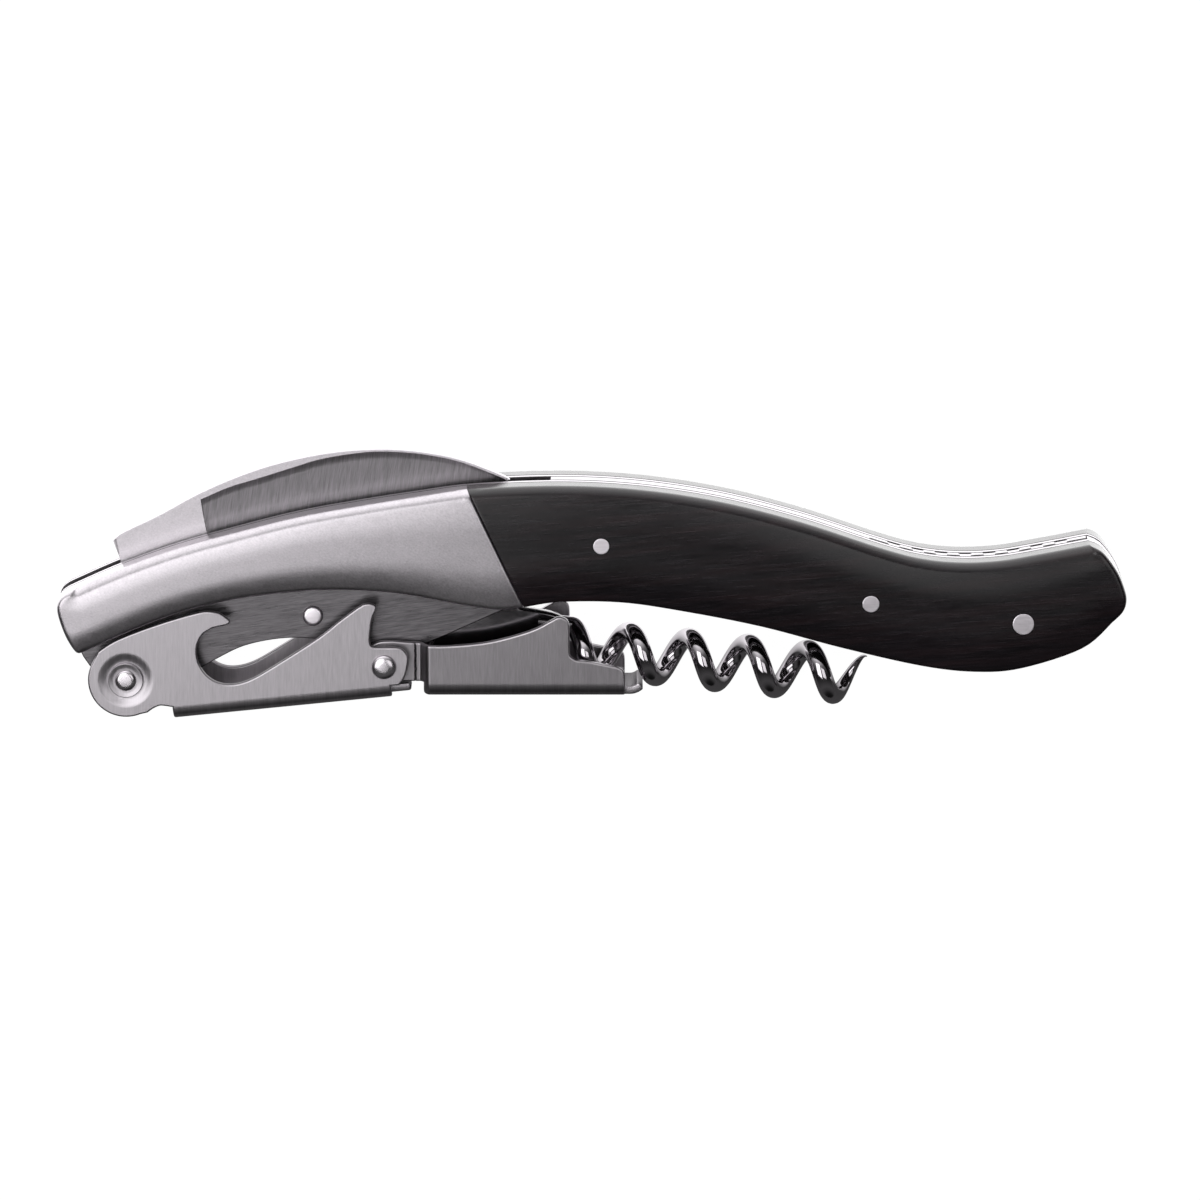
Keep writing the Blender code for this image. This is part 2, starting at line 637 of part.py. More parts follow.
def second_stage():
    """The outer stage: a neck joggled in to the knuckle, an ear, a step and a curled lip."""
    fold = Fold((-20.6, -13.45), 0)
    web_end = 24.5
    neck = [(-21.2, -11.88), (-23.7, -11.9)] + arc(KNUCKLE, NECK_RADIUS, -54, -270, 12)
    top = smooth([
        (-24.4, -6.88), (-22.3, -7.05), (-20.4, -7.1), (-17.4, -7.1), (-12.6, -6.6), (-7.7, -5.25),
        (-5.2, -4.0),
    ])  # fmt: skip
    ear = smooth([(-4.4, -3.55), (-3.6, -3.6), (-2.9, -4.4), (-2.85, -7.5), (-2.7, -8.4), (-2.0, -8.9)])
    step = smooth([(-0.4, -9.05), (1.5, -9.45), (3.1, -9.8), (3.8, -10.4), (3.9, -11.84)])
    plate = neck + top + ear + step
    half = [(0, fold.flat_half), (0, fold.bend_end)] + [fold.unfold(p) for p in plate]
    half += [(web_end, fold.bend_end), (web_end, fold.flat_half)]
    half += [(LIP_START + LIP_LENGTH, fold.flat_half)]

    def press(point):
        low, high = JOGGLE_X
        gone = (high - point.x) / (high - low)
        return JOGGLE_DEPTH * min(1, max(0, gone))

    cuts = [x - fold.origin.x for x in JOGGLE_X]
    cuts += [LIP_START + LIP_LENGTH * i / LIP_STEPS for i in range(LIP_STEPS + 1)]
    bm = folded_sheet(fold, half, [fold.eye(KNUCKLE)], press, cuts)
    curl_lip(bm, fold)
    return bm


def curl_lip(bm, fold):
    """Bends the web's free end up round a line across it."""
    start = fold.origin.x + LIP_START
    base = fold.origin.y
    for vert in bm.verts:
        beyond = vert.co.x - start
        if beyond > 1e-6:
            turn = beyond / (LIP_RADIUS - SHEET / 2)
            radius = LIP_RADIUS - (vert.co.y - base)
            vert.co.x = start + radius * math.sin(turn)
            vert.co.y = base + LIP_RADIUS - radius * math.cos(turn)


def build_levers(first_body, second_body, steel, polished):
    add("lever_first_stage", first_stage(), steel, first_body)
    add("lever_second_stage", second_stage(), steel, second_body)
    rivet = domed_rivet(KNUCKLE, PIVOT_SHANK, RIVET_HEAD, LEVER_HALF + 0.05)
    add("knuckle_rivet", rivet, polished, first_body)
    bore = PIVOT_SHANK + RUN_GAP
    low, high = LEVER_HALF - JOGGLE_DEPTH + 0.15, LEVER_HALF - SHEET - 0.15
    add_pair("knuckle_washer", lambda: spacer_ring(KNUCKLE, bore, 2.2, low, high), steel, first_body)


def main():
    for old in list(bpy.data.objects):
        bpy.data.objects.remove(old)
    steel = material("satin_steel", (0.42, 0.41, 0.41), 1, 0.35)
    polished = material("polished_steel", (0.62, 0.61, 0.61), 1, 0.12)
    wood = material("dark_wood", (0.022, 0.014, 0.012), 0, 0.38)
    frame = pivot_empty("handle_frame")
    blade_body = pivot_empty("blade_pivot", BLADE_PIVOT, frame)
    worm_body = pivot_empty("worm_pivot", WORM_PIVOT, frame)
    first_body = pivot_empty("lever_pivot", LEVER_PIVOT, frame)
    second_body = pivot_empty("knuckle_pivot", KNUCKLE, first_body)
    build_handle(frame, steel, polished, wood)
    build_lever_pivot(frame, steel, polished)
    build_blade(blade_body, frame, steel)
    build_worm(worm_body, polished)
    build_levers(first_body, second_body, steel, polished)


main()
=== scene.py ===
"""The looks of a waiter's lever corkscrew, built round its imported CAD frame.

Lengths are in millimetres until a mesh is handed over, and z is measured from the handle's middle plane.
"""

import math

import bmesh
import bpy
import numpy as np
from mathutils import Matrix, Vector
from mathutils.geometry import delaunay_2d_cdt


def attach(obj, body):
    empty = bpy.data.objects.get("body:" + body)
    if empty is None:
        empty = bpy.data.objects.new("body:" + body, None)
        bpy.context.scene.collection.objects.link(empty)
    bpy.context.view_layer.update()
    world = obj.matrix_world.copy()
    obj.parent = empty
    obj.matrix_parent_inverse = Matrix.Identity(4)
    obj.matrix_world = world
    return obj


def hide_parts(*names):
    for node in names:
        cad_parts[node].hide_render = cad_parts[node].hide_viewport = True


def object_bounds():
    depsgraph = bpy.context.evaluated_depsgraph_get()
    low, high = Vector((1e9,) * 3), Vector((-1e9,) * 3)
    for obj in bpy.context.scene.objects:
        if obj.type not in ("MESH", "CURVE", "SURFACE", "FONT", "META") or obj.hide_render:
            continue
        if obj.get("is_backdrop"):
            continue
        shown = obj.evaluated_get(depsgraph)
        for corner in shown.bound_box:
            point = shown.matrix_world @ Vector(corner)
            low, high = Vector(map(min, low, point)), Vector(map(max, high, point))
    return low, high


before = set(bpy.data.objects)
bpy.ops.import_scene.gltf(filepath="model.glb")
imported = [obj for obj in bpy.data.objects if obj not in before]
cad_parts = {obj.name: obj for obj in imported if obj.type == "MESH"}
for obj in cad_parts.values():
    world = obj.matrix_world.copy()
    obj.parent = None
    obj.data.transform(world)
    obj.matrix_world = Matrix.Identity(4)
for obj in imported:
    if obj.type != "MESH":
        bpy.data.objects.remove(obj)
cad_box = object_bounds()

MM = 0.001
MIDDLE = 6.2

# The stack from the middle plane outwards
LINER_IN = 1.1
LINER_OUT = 2.1
SIDE_IN = 2.25
SIDE_OUT = 6.2
BLADE_HALF = 0.5
FILLER_HALF = 0.95
TANG_HALF = 0.95
JOINT_GAP = 0.06

# Hinge eyes of blade and worm, and the bores for their pins
EYE_RADIUS = 3.0
BORE = 1.1

# The outer face of bolster and scale: an arch across the handle, with rounded edges
CROWN = 0.5
CROWN_FLAT = 0.3
RIM_ROUNDS = (1.2, 0.4, 0.5)
DOME_INSETS = (0.02, 0.08, 0.18, 0.32, 0.5, 0.72, 0.96, 1.2, 1.6, 2.1, 2.7, 3.4, 4.2, 5.0, 5.8, 6.6)
JOINT_ROWS = (0.12, 0.24, 0.4, 0.62, 0.9)
JOINT_CLEAR = 1.1
GROOVE = (0.26, 0.13)

# Sheet metal of the two lever stages
SHEET = 1.0
LEVER_HALF = 5.4
BEND_OUT = 1.6
BEND_STEPS = 8

LEVER_PIVOT = (-56.8, -11.34)
KNUCKLE = (-25.4, -9.66)
BLADE_PIVOT = (-55.0, -1.28)
WORM_PIVOT = (-13.3, -1.78)
STOP_RIVET = ((-34.1, -4.0), 0.95)
FRONT_PIN = ((1.0, 5.45), 0.98)
MIDDLE_PIN = ((33.7, -1.7), 1.03)
REAR_PIN = ((52.2, -4.2), 1.3)
PIVOT_SHANK = 1.0
STOP_HEAD = 1.25
PIVOT_HEAD = 1.34
KNUCKLE_HEAD = 1.5
DIMPLE_RADII = (3.4, 2.25)
DIMPLE_DEPTH = 0.28
JOGGLE_DEPTH = 1.85
JOGGLE_X = (-21.1, -19.9)
SEAM_X = -21.62

# The lens-shaped cuts along both edges of the spring's back
CUTS_X = (34.2, 59)
FIRST_CUT = 35.2
CUT_SPACING = 2.9
CUT_HALF = 0.75
CUT_DEPTH = 0.3
UNCUT_HALF = 0.25

WORM_START = (-2.8, -8.36)
WORM_SLOPE = -5.9
WORM_RADIUS = 2.62
WIRE_RADIUS = 1.17
WORM_PITCH = 7.3
WORM_TURNS = 4.95
POINT_TURNS = 0.5
LIP_START = 25.1
LIP_LENGTH = 1.45
LIP_RADIUS = 2.3

TOP_LINE = [
    (-62.6, 0.1), (-57.4, 2.4), (-50.4, 4.95), (-43.0, 7.05), (-35.7, 8.9), (-28.4, 10.25),
    (-21.1, 11.4), (-14.6, 12.25), (-4.0, 12.65), (5.7, 12.15), (15.5, 10.65), (25.2, 8.15),
    (35.0, 4.9), (40.0, 3.6), (44.8, 3.15), (49.6, 3.4), (54.5, 4.25), (60.2, 5.35),
]  # fmt: skip
TAIL_END = [
    (60.2, 5.35), (61.8, 4.55), (63.5, 2.3), (64.4, 0.2), (64.7, -1.3), (64.3, -2.75), (63.0, -4.2),
]  # fmt: skip
SCALE_BOTTOM = [
    (63.0, -4.2), (59.4, -7.38), (52.1, -9.84), (46.5, -10.29), (39.9, -9.54), (30.1, -7.27),
    (20.4, -4.65), (10.6, -2.7), (3.3, -1.65), (-4.0, -1.6), (-8.4, -2.27),
]  # fmt: skip
BOLSTER_BOTTOM = [
    (-8.4, -2.27), (-11.6, -2.52), (-16.2, -1.87), (-23.5, -0.52), (-31.0, -0.07), (-38.2, -0.52),
    (-45.5, -1.67), (-52.8, -3.87), (-61.7, -7.72),
]  # fmt: skip
NOSE = [
    (-61.7, -7.72), (-62.7, -7.85), (-63.8, -6.2), (-64.6, -4.2),
    (-65.0, -2.5), (-64.8, -1.4), (-64.0, -0.6), (-62.6, 0.1),
]  # fmt: skip
BOLSTER_END = ((-15.2, 12.2), (-8.4, -2.27))
LINER_FRONT = [(-61.1, -10.7), (-62.1, -9.2), (-63.0, -7.4)]
LINER_BELOW = [
    (-8.4, -2.27), (-11.8, -3.7), (-19.4, -7.1), (-22.5, -8.0), (-28.0, -7.7), (-34.0, -6.9),
    (-38.2, -6.9), (-42.5, -7.8), (-46.0, -9.5), (-48.5, -11.0),
]  # fmt: skip
PIVOT_LOBE = 4.3

# Brightness of floor and sky, as the camera sees them and as they light the object.
# The floor lights it from dark on the lever's side to bright on the back's side, between the two places in Y.
FLOOR_SEEN = 0.98
FLOOR_LIGHT = (0.03, 2.3)
FLOOR_FADE = (-14, 1)
SKY_SEEN = 1.0
SKY_RUN = (-0.25, 1.0, 0.0)
SKY = [
    (0.0, 0.01), (0.03, 0.02), (0.09, 0.07), (0.17, 0.1), (0.3, 0.05), (0.39, 0.02), (0.5, 0.03), (0.6, 0.07),
    (0.72, 0.2), (0.84, 0.65), (0.95, 1.5), (1.0, 2.2),
]  # fmt: skip

# Soft lights facing straight down, in metres: place, size and watts
LIGHT_HEIGHT = 0.45
KEY = ((-0.245, 0.10), (0.42, 0.44), 1.5)
TAIL_FILL = ((0.19, 0.08), (0.28, 0.28), 0.38)

# The camera, in metres: what it looks at, from how far, how wide, and the sine of its lean over the back
TARGET = (0.000854, -0.00253, 0.0062)
DISTANCE = 1.0
VIEW_WIDTH = 0.146341
VIEW_LEAN = 0.2164


# ---------- outlines ----------


def smooth(points, steps=6):
    """A Catmull-Rom curve through the points, from the first to the last."""
    ends = [points[0]] + list(points) + [points[-1]]
    curve = []
    for corners in zip(ends, ends[1:], ends[2:], ends[3:]):
        curve += [tuple(between(*part, i / steps) for part in zip(*corners)) for i in range(steps)]
    return curve + [points[-1]]


def between(p, q, r, s, t):
    """The value at t on the way from q to r, with p before them and s after them."""
    square = 2 * p - 5 * q + 4 * r - s
    cube = 3 * q - p - 3 * r + s
    return q + 0.5 * ((r - p) * t + square * t**2 + cube * t**3)


def arc(centre, radius, start, end, steps=20):
    angles = [math.radians(start + (end - start) * i / steps) for i in range(steps + 1)]
    return [(centre[0] + radius * math.cos(a), centre[1] + radius * math.sin(a)) for a in angles]


def circle(centre, radius, sides=48):
    return arc(centre, radius, 0, 360, sides)[:-1]


def without_repeats(points, nearest=0.03):
    return [p for p, q in zip(points, points[1:] + points[:1]) if math.dist(p, q) > nearest]


def area_of(loop):
    return sum(a[0] * b[1] - b[0] * a[1] for a, b in zip(loop, loop[1:] + loop[:1])) / 2


def offset_loop(loop, distance):
    """The loop moved to its left, square to its path, with corners kept sharp up to a limit."""
    moved = []
    for before, here, after in zip(loop[-1:] + loop[:-1], loop, loop[1:] + loop[:1]):
        back = (Vector(here) - Vector(before)).normalized()
        ahead = (Vector(after) - Vector(here)).normalized()
        along = (back + ahead).normalized() if (back + ahead).length > 1e-3 else ahead
        reach = distance / max(0.55, along.dot(ahead))
        moved.append((here[0] - along.y * reach, here[1] + along.x * reach))
    return moved


def ease(t):
    t = min(1, max(0, t))
    return t * t * (3 - 2 * t)


# ---------- meshes ----------

FACE, EDGE, THIRD = 0, 1, 2


def face_out(bm):
    bmesh.ops.recalc_face_normals(bm, faces=bm.faces[:])
    if bm.calc_volume(signed=True) < 0:
        bmesh.ops.reverse_faces(bm, faces=bm.faces[:])


def bridge(bm, low, high, tag):
    for i in range(len(low)):
        j = (i + 1) % len(low)
        bm.faces.new((low[i], low[j], high[j], high[i])).material_index = tag


def soft_plate(outline, low, high, holes=(), eyes=(), soft=0.12, steps=3, round_tag=EDGE):
    """A plate with rounded edges. An eye is a hole with bands of rings round it, outermost ring first."""
    bm = bmesh.new()
    outline = without_repeats(list(outline))
    loops = [outline if area_of(outline) > 0 else outline[::-1]]
    for hole in [list(h) for h in holes] + [list(rings[-1]) for rings in eyes]:
        loops.append(hole[::-1] if area_of(hole) > 0 else hole)
    turns = [math.pi / 2 * i / steps for i in range(steps + 1)]
    profile = [(soft * (1 - math.sin(a)), low + soft * (1 - math.cos(a))) for a in turns]
    profile += [(inset, low + high - z) for inset, z in reversed(profile)]
    caps = ([], [])
    for number, loop in enumerate(loops):
        rings = []
        for inset, z in profile:
            rings.append([bm.verts.new((x, y, z)) for x, y in offset_loop(loop, inset)])
        for i, (lower, upper) in enumerate(zip(rings, rings[1:])):
            bridge(bm, lower, upper, EDGE if i == steps else round_tag)
        for cap, ring in zip(caps, (rings[0], rings[-1])):
            cap.append((number, ring))
    for cap, z in zip(caps, (low, high)):
        edges = []
        for number, ring in cap:
            bands = eyes[number - 1 - len(holes)] if number > len(holes) else []
            inner = ring
            for band in reversed(bands[:-1]):
                turned_band = list(band)[::-1] if area_of(list(band)) > 0 else list(band)
                outer = [bm.verts.new((x, y, z)) for x, y in turned_band]
                bridge(bm, inner, outer, FACE)
                inner = outer
            pairs = zip(inner, inner[1:] + inner[:1])
            edges += [bm.edges.get(pair) or bm.edges.new(pair) for pair in pairs]
        made = bmesh.ops.triangle_fill(bm, use_beauty=True, edges=edges)
        for face in made["geom"]:
            if isinstance(face, bmesh.types.BMFace):
                face.material_index = FACE
    face_out(bm)
    return bm


def turned(profile, centre, sides=64):
    """A solid turned about an axis parallel to Z, from (radius, z) pairs, closed or ending on the axis."""
    bm = bmesh.new()
    rows = []
    for radius, z in profile:
        if radius == 0:
            rows.append([bm.verts.new((*centre, z))])
        else:
            rows.append([bm.verts.new((x, y, z)) for x, y in circle(centre, radius, sides)])
    closed = profile[0][0] > 0
    for low, high in zip(rows, rows[1:] + (rows[:1] if closed else [])):
        for i in range(sides):
            j = (i + 1) % sides
            ring = [low[i % len(low)], low[j % len(low)], high[j % len(high)], high[i % len(high)]]
            bm.faces.new(list(dict.fromkeys(ring)))
    face_out(bm)
    return bm


def tube(path, radii, sides):
    """A round bar along a path, with a radius for each of its points."""
    bm = bmesh.new()
    loops = []
    side = Vector((0, 1, 0))
    for i, (point, radius) in enumerate(zip(path, radii)):
        ahead = (path[min(i + 1, len(path) - 1)] - path[max(i - 1, 0)]).normalized()
        side = (side - ahead * side.dot(ahead)).normalized()
        across = ahead.cross(side)
        turns = [2 * math.pi * k / sides for k in range(sides)]
        ring = [point + radius * (side * math.cos(a) + across * math.sin(a)) for a in turns]
        loops.append([bm.verts.new(co) for co in ring])
    for low, high in zip(loops, loops[1:]):
        bridge(bm, low, high, FACE)
    for loop in (loops[0], loops[-1]):
        bm.faces.new(loop)
    face_out(bm)
    return bm


def mark_sharp(bm, angle=34):
    """Shading breaks where a face meets a rounded edge, and at real corners."""
    limit = math.radians(angle)
    for edge in bm.edges:
        if len(edge.link_faces) == 2:
            a, b = edge.link_faces
            if a.material_index != b.material_index or edge.calc_face_angle(0) > limit:
                edge.smooth = False
    for face in bm.faces:
        face.smooth = True


def piece(name, bm, paints, body, nodes, mirrored=False):
    """Hands a mesh over: in metres and in place, with its materials, its body and its CAD nodes."""
    if mirrored:
        bmesh.ops.scale(bm, verts=bm.verts[:], vec=(1, 1, -1))
        bmesh.ops.reverse_faces(bm, faces=bm.faces[:])
    mark_sharp(bm)
    to_place = Matrix.Scale(MM, 4) @ Matrix.Translation((0, 0, MIDDLE))
    bmesh.ops.transform(bm, matrix=to_place, verts=bm.verts[:])
    mesh = bpy.data.meshes.new(name)
    bm.to_mesh(mesh)
    bm.free()
    for paint in paints:
        mesh.materials.append(paint)
    made = bpy.data.objects.new(name, mesh)
    bpy.context.scene.collection.objects.link(made)
    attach(made, body)
    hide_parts(*nodes)
    return made


def piece_pair(name, build, paints, body, node):
    """The same piece on the upper and on the lower side."""
    piece(name + "_top", build(), paints, body, [node + "_upper"])
    piece(name + "_bottom", build(), paints, body, [node + "_lower"], mirrored=True)


# ---------- materials ----------


class Paint:
    """A procedural material: a Principled shader with node helpers."""

    def __init__(self, name, metallic=0.0, **sockets):
        self.material = bpy.data.materials.new(name)
        self.material.use_nodes = True
        self.tree = self.material.node_tree
        self.shader = self.tree.nodes["Principled BSDF"]
        self.shader.inputs["Metallic"].default_value = metallic
        for socket, value in sockets.items():
            self.shader.inputs[socket.replace("_", " ")].default_value = value
        self.place = self.node("ShaderNodeTexCoord").outputs["Object"]

    def node(self, kind, inputs=None, **settings):
        made = self.tree.nodes.new(kind)
        for key, value in settings.items():
            setattr(made, key, value)
        for key, value in (inputs or {}).items():
            if isinstance(value, bpy.types.NodeSocket):
                self.tree.links.new(value, made.inputs[key])
            else:
                made.inputs[key].default_value = value
        return made

    def noise(self, scale, turn=0.0, detail=3.0, roughness=0.6):
        """Noise with so many cycles per metre along x, y and z, turned about z by degrees."""
        spin = {"Vector": self.place, "Angle": math.radians(turn)}
        spun = self.node("ShaderNodeVectorRotate", spin, rotation_type="Z_AXIS")
        sized = self.node("ShaderNodeVectorMath", {0: spun.outputs[0], 1: scale}, operation="MULTIPLY")
        inputs = {"Vector": sized.outputs[0], "Scale": 1.0, "Detail": detail, "Roughness": roughness}
        return self.node("ShaderNodeTexNoise", inputs).outputs["Fac"]

    def remap(self, value, low, high, to_low, to_high):
        inputs = {"Value": value, "From Min": low, "From Max": high, "To Min": to_low, "To Max": to_high}
        return self.node("ShaderNodeMapRange", inputs).outputs["Result"]

    def maths(self, operation, a, b):
        return self.node("ShaderNodeMath", {0: a, 1: b}, operation=operation).outputs[0]

    def ramp(self, value, stops):
        made = self.node("ShaderNodeValToRGB", {"Fac": value})
        elements = made.color_ramp.elements
        while len(elements) < len(stops):
            elements.new(0.5)
        for element, (position, colour) in zip(elements, stops):
            element.position = position
            element.color = (*colour, 1)
        return made.outputs["Color"]

    def mix(self, factor, a, b, blend="MIX"):
        inputs = {"Factor": factor, 6: a, 7: b}
        return self.node("ShaderNodeMix", inputs, data_type="RGBA", blend_type=blend).outputs[2]

    def set(self, socket, value):
        self.tree.links.new(value, self.shader.inputs[socket])

    def bump(self, height, strength, distance):
        made = self.node("ShaderNodeBump", {"Height": height, "Strength": strength, "Distance": distance})
        self.set("Normal", made.outputs["Normal"])


STEEL_TINT = (1.0, 0.945, 1.0)


def grey(value):
    """The steel's colour at a brightness."""
    return tuple(value * t for t in STEEL_TINT)


def brushed(name, dark, light, grain, rough, turn=0.0, depth=0.35):
    """Satin steel whose fine grain runs along the direction in which it has the fewest cycles."""
    paint = Paint(name, metallic=1.0)
    fine = paint.noise(grain, turn, detail=2.0)
    wide = paint.noise(tuple(g * 0.22 for g in grain), turn, detail=2.0)
    both = paint.maths("ADD", paint.maths("MULTIPLY", fine, 0.72), paint.maths("MULTIPLY", wide, 0.28))
    paint.set("Base Color", paint.ramp(both, [(0.3, grey(dark)), (0.7, grey(light))]))
    paint.set("Roughness", paint.remap(both, 0.25, 0.75, rough[0], rough[1]))
    paint.bump(fine, depth, 0.00002)
    return paint


def polished(name, colour, rough):
    """Bright steel with faint smears."""
    paint = Paint(name, metallic=1.0)
    smear = paint.noise((350, 900, 500), 20, detail=4.0)
    paint.set("Base Color", paint.ramp(smear, [(0.3, grey(colour * 0.93)), (0.7, grey(colour))]))
    paint.set("Roughness", paint.remap(smear, 0.3, 0.7, rough[0], rough[1]))
    return paint


def make_wood():
    """Near-black wood with a fine straight grain, warm brown streaks and a half-gloss finish."""
    paint = Paint("wood_look", Specular_IOR_Level=0.42)
    fine = paint.noise((260, 5200, 5200), -4, detail=3.0, roughness=0.7)
    streak = paint.noise((60, 900, 900), -6, detail=4.0, roughness=0.6)
    cloud = paint.noise((45, 130, 130), 0, detail=2.0)
    base = paint.ramp(cloud, [(0.35, (0.0026, 0.0017, 0.0026)), (0.62, (0.0055, 0.0036, 0.0050))])
    warm = paint.ramp(streak, [(0.45, (0.0, 0.0, 0.0)), (0.75, (0.010, 0.0045, 0.0048))])
    pores = paint.ramp(fine, [(0.45, (0.0, 0.0, 0.0)), (0.78, (0.008, 0.0060, 0.0080))])
    colour = paint.mix(1.0, paint.mix(1.0, base, warm, "ADD"), pores, "ADD")
    paint.set("Base Color", colour)
    paint.set("Roughness", paint.remap(fine, 0.3, 0.75, 0.2, 0.3))
    paint.bump(fine, 0.25, 0.00003)
    return paint


def make_shaded_second_stage_steel():
    """Satin steel like the first stage's, with a darker base that is painted shade, and a rough dark shear
    line across the neck.
    """
    paint = brushed("lever_outer_shaded_look", 0.25, 0.33, (5200, 420, 420), (0.3, 0.42), depth=0.3)
    ground = paint.shader.inputs["Base Color"].links[0].from_socket
    ragged = paint.noise((900, 1700, 900), 0, detail=4.0)
    wobble = paint.remap(ragged, 0.3, 0.7, -0.1 * MM, 0.1 * MM)
    along = paint.node("ShaderNodeSeparateXYZ", {0: paint.place}).outputs["X"]
    beyond = paint.maths("SUBTRACT", along, SEAM_X * MM)
    off = paint.maths("ABSOLUTE", paint.maths("ADD", beyond, wobble), 0.0)
    line = paint.remap(off, 0.05 * MM, 0.14 * MM, 0.85, 0.0)
    paint.set("Base Color", paint.mix(line, ground, (0.03, 0.03, 0.032, 1)))
    return paint


SATIN = {
    "bolster": dict(dark=0.35, light=0.5, grain=(3600, 5200, 4200), rough=(0.27, 0.36), turn=28, depth=0.4),
    # The liner's dark base is partly its own darker brushed finish and partly painted shade of its recess
    # under the bolster.
    "liner": dict(dark=0.08, light=0.2, grain=(500, 8000, 8000), rough=(0.24, 0.4), turn=-8, depth=0.5),
    # Near-black steel on the rounded edges of liner and spring and in the spring's cuts: painted shade of the
    # gaps and cuts.
    "painted_gap_shade": dict(dark=0.02, light=0.05, grain=(900, 900, 900), rough=(0.4, 0.5), depth=0.1),
    "lever": dict(dark=0.37, light=0.48, grain=(5200, 420, 420), rough=(0.3, 0.42), depth=0.3),
    "blade_root": dict(dark=0.46, light=0.62, grain=(5200, 5600, 5000), rough=(0.34, 0.46), depth=0.5),
    "blade_bevel": dict(dark=0.17, light=0.31, grain=(9500, 500, 500), rough=(0.3, 0.42), turn=8, depth=0.4),
    "blade_spine": dict(dark=0.35, light=0.43, grain=(600, 4200, 4200), rough=(0.26, 0.34), depth=0.2),
    "pin": dict(dark=0.74, light=0.86, grain=(500, 4200, 4200), rough=(0.3, 0.38), depth=0.2),
    "inner": dict(dark=0.3, light=0.4, grain=(900, 3600, 3600), rough=(0.3, 0.4), depth=0.25),
}
BRIGHT = {
    "root": (0.16, (0.08, 0.16)),
    "edge": (0.43, (0.3, 0.38)),
    "rivet": (0.6, (0.2, 0.28)),
    "worm": (0.48, (0.07, 0.14)),
}


def make_paints():
    made = {name: brushed(name + "_look", **look) for name, look in SATIN.items()}
    made.update({name: polished(name + "_look", *look) for name, look in BRIGHT.items()})
    made["lever_outer"] = make_shaded_second_stage_steel()
    made["wood"] = make_wood()
    return {name: paint.material for name, paint in made.items()}


paints = make_paints()


# ---------- handle ----------


def side_rim():
    """The outline that bolster and scale share."""
    sides = (TOP_LINE, TAIL_END, SCALE_BOTTOM, BOLSTER_BOTTOM, NOSE)
    return [point for side in sides for point in smooth(side)[:-1]]


RIM = side_rim()
RIM_PARTS = ((TOP_LINE,), (SCALE_BOTTOM, BOLSTER_BOTTOM), (TAIL_END, NOSE))


def distance_to(path, points):
    """How far each point lies from the path."""
    path = np.array(path)
    points = np.asarray(points, float).reshape(-1, 1, 2)
    start, step = path[:-1], np.diff(path, axis=0)
    t = np.clip(((points - start) * step).sum(2) / (step * step).sum(1), 0, 1)
    gaps = points - (start + step * t[..., None])
    return np.sqrt((gaps * gaps).sum(2)).min(1)


def dome_height(points):
    """The outer face's height above the middle plane."""
    insets = [
        np.min([distance_to(smooth(line), points) for line in part], axis=0) for part in RIM_PARTS
    ]
    from_middle = np.abs(2 * insets[0] / (insets[0] + insets[1]) - 1)
    aside = np.maximum(0, from_middle - CROWN_FLAT) / (1 - CROWN_FLAT)
    overs = [np.maximum(0, 1 - inset / radius) for inset, radius in zip(insets, RIM_ROUNDS)]
    falls = [radius * (1 - np.sqrt(np.maximum(0, 1 - over**2))) for radius, over in zip(RIM_ROUNDS, overs)]
    return SIDE_OUT - CROWN * aside**2 - np.max(falls, axis=0)


def across_joint(x, y):
    """How far a point lies beyond the joint of bolster and scale, towards the tail."""
    high, low = BOLSTER_END
    slope = (high[0] - low[0]) / (high[1] - low[1])
    return x - low[0] - slope * (y - low[1])


def inset_points(side):
    """Points on lines parallel to the rim at each of the dome's insets, on one side of the joint."""
    found = []
    for inset in DOME_INSETS:
        line = np.array(offset_loop(RIM, -inset))
        far = distance_to(RIM + RIM[:1], line) > 0.97 * inset
        past = side * across_joint(line[:, 0], line[:, 1]) > JOINT_CLEAR
        found += [tuple(p) for p, good in zip(line, far & past) if good]
    return found


def joint_line(gap, steps=30):
    """The bolster's end from the top to the bottom, moved by gap along the handle."""
    high, low = BOLSTER_END
    return [
        (high[0] + (low[0] - high[0]) * i / steps + gap, high[1] + (low[1] - high[1]) * i / steps)
        for i in range(steps + 1)
    ]


def joint_points(side):
    """Points on rows parallel to the joint and near it."""
    found = []
    for gap in JOINT_ROWS:
        row = np.array(joint_line(side * gap, 70))
        insets = distance_to(RIM + RIM[:1], row)
        found += [tuple(p) for p, inset in zip(row, insets) if inset > DOME_INSETS[0]][1:-1]
    return found


def centre_and_radius(ring):
    middle = np.mean(ring, axis=0)
    return middle, math.dist(middle, ring[0])


def face_points(holes, side):
    """Points inside the outer face, which its triangles use. A ring of them lies round each hole."""
    found = inset_points(side) + joint_points(side)
    for middle, radius in map(centre_and_radius, holes):
        found = [p for p in found if math.dist(p, middle) > radius + 0.35]
        found += circle(tuple(middle), radius + 0.2, 24)
    return found


def outer_height(points):
    """The outer face's height, with a fine groove along the joint."""
    width, depth = GROOVE
    gap = np.abs(across_joint(points[:, 0], points[:, 1]))
    return dome_height(points) - depth * np.clip(1 - gap / width, 0, 1) ** 2


def loop_edges(loops):
    """The edges of closed loops whose points are numbered one loop after the other."""
    edges = []
    first = 0
    for loop in loops:
        edges += [(first + i, first + (i + 1) % len(loop)) for i in range(len(loop))]
        first += len(loop)
    return edges


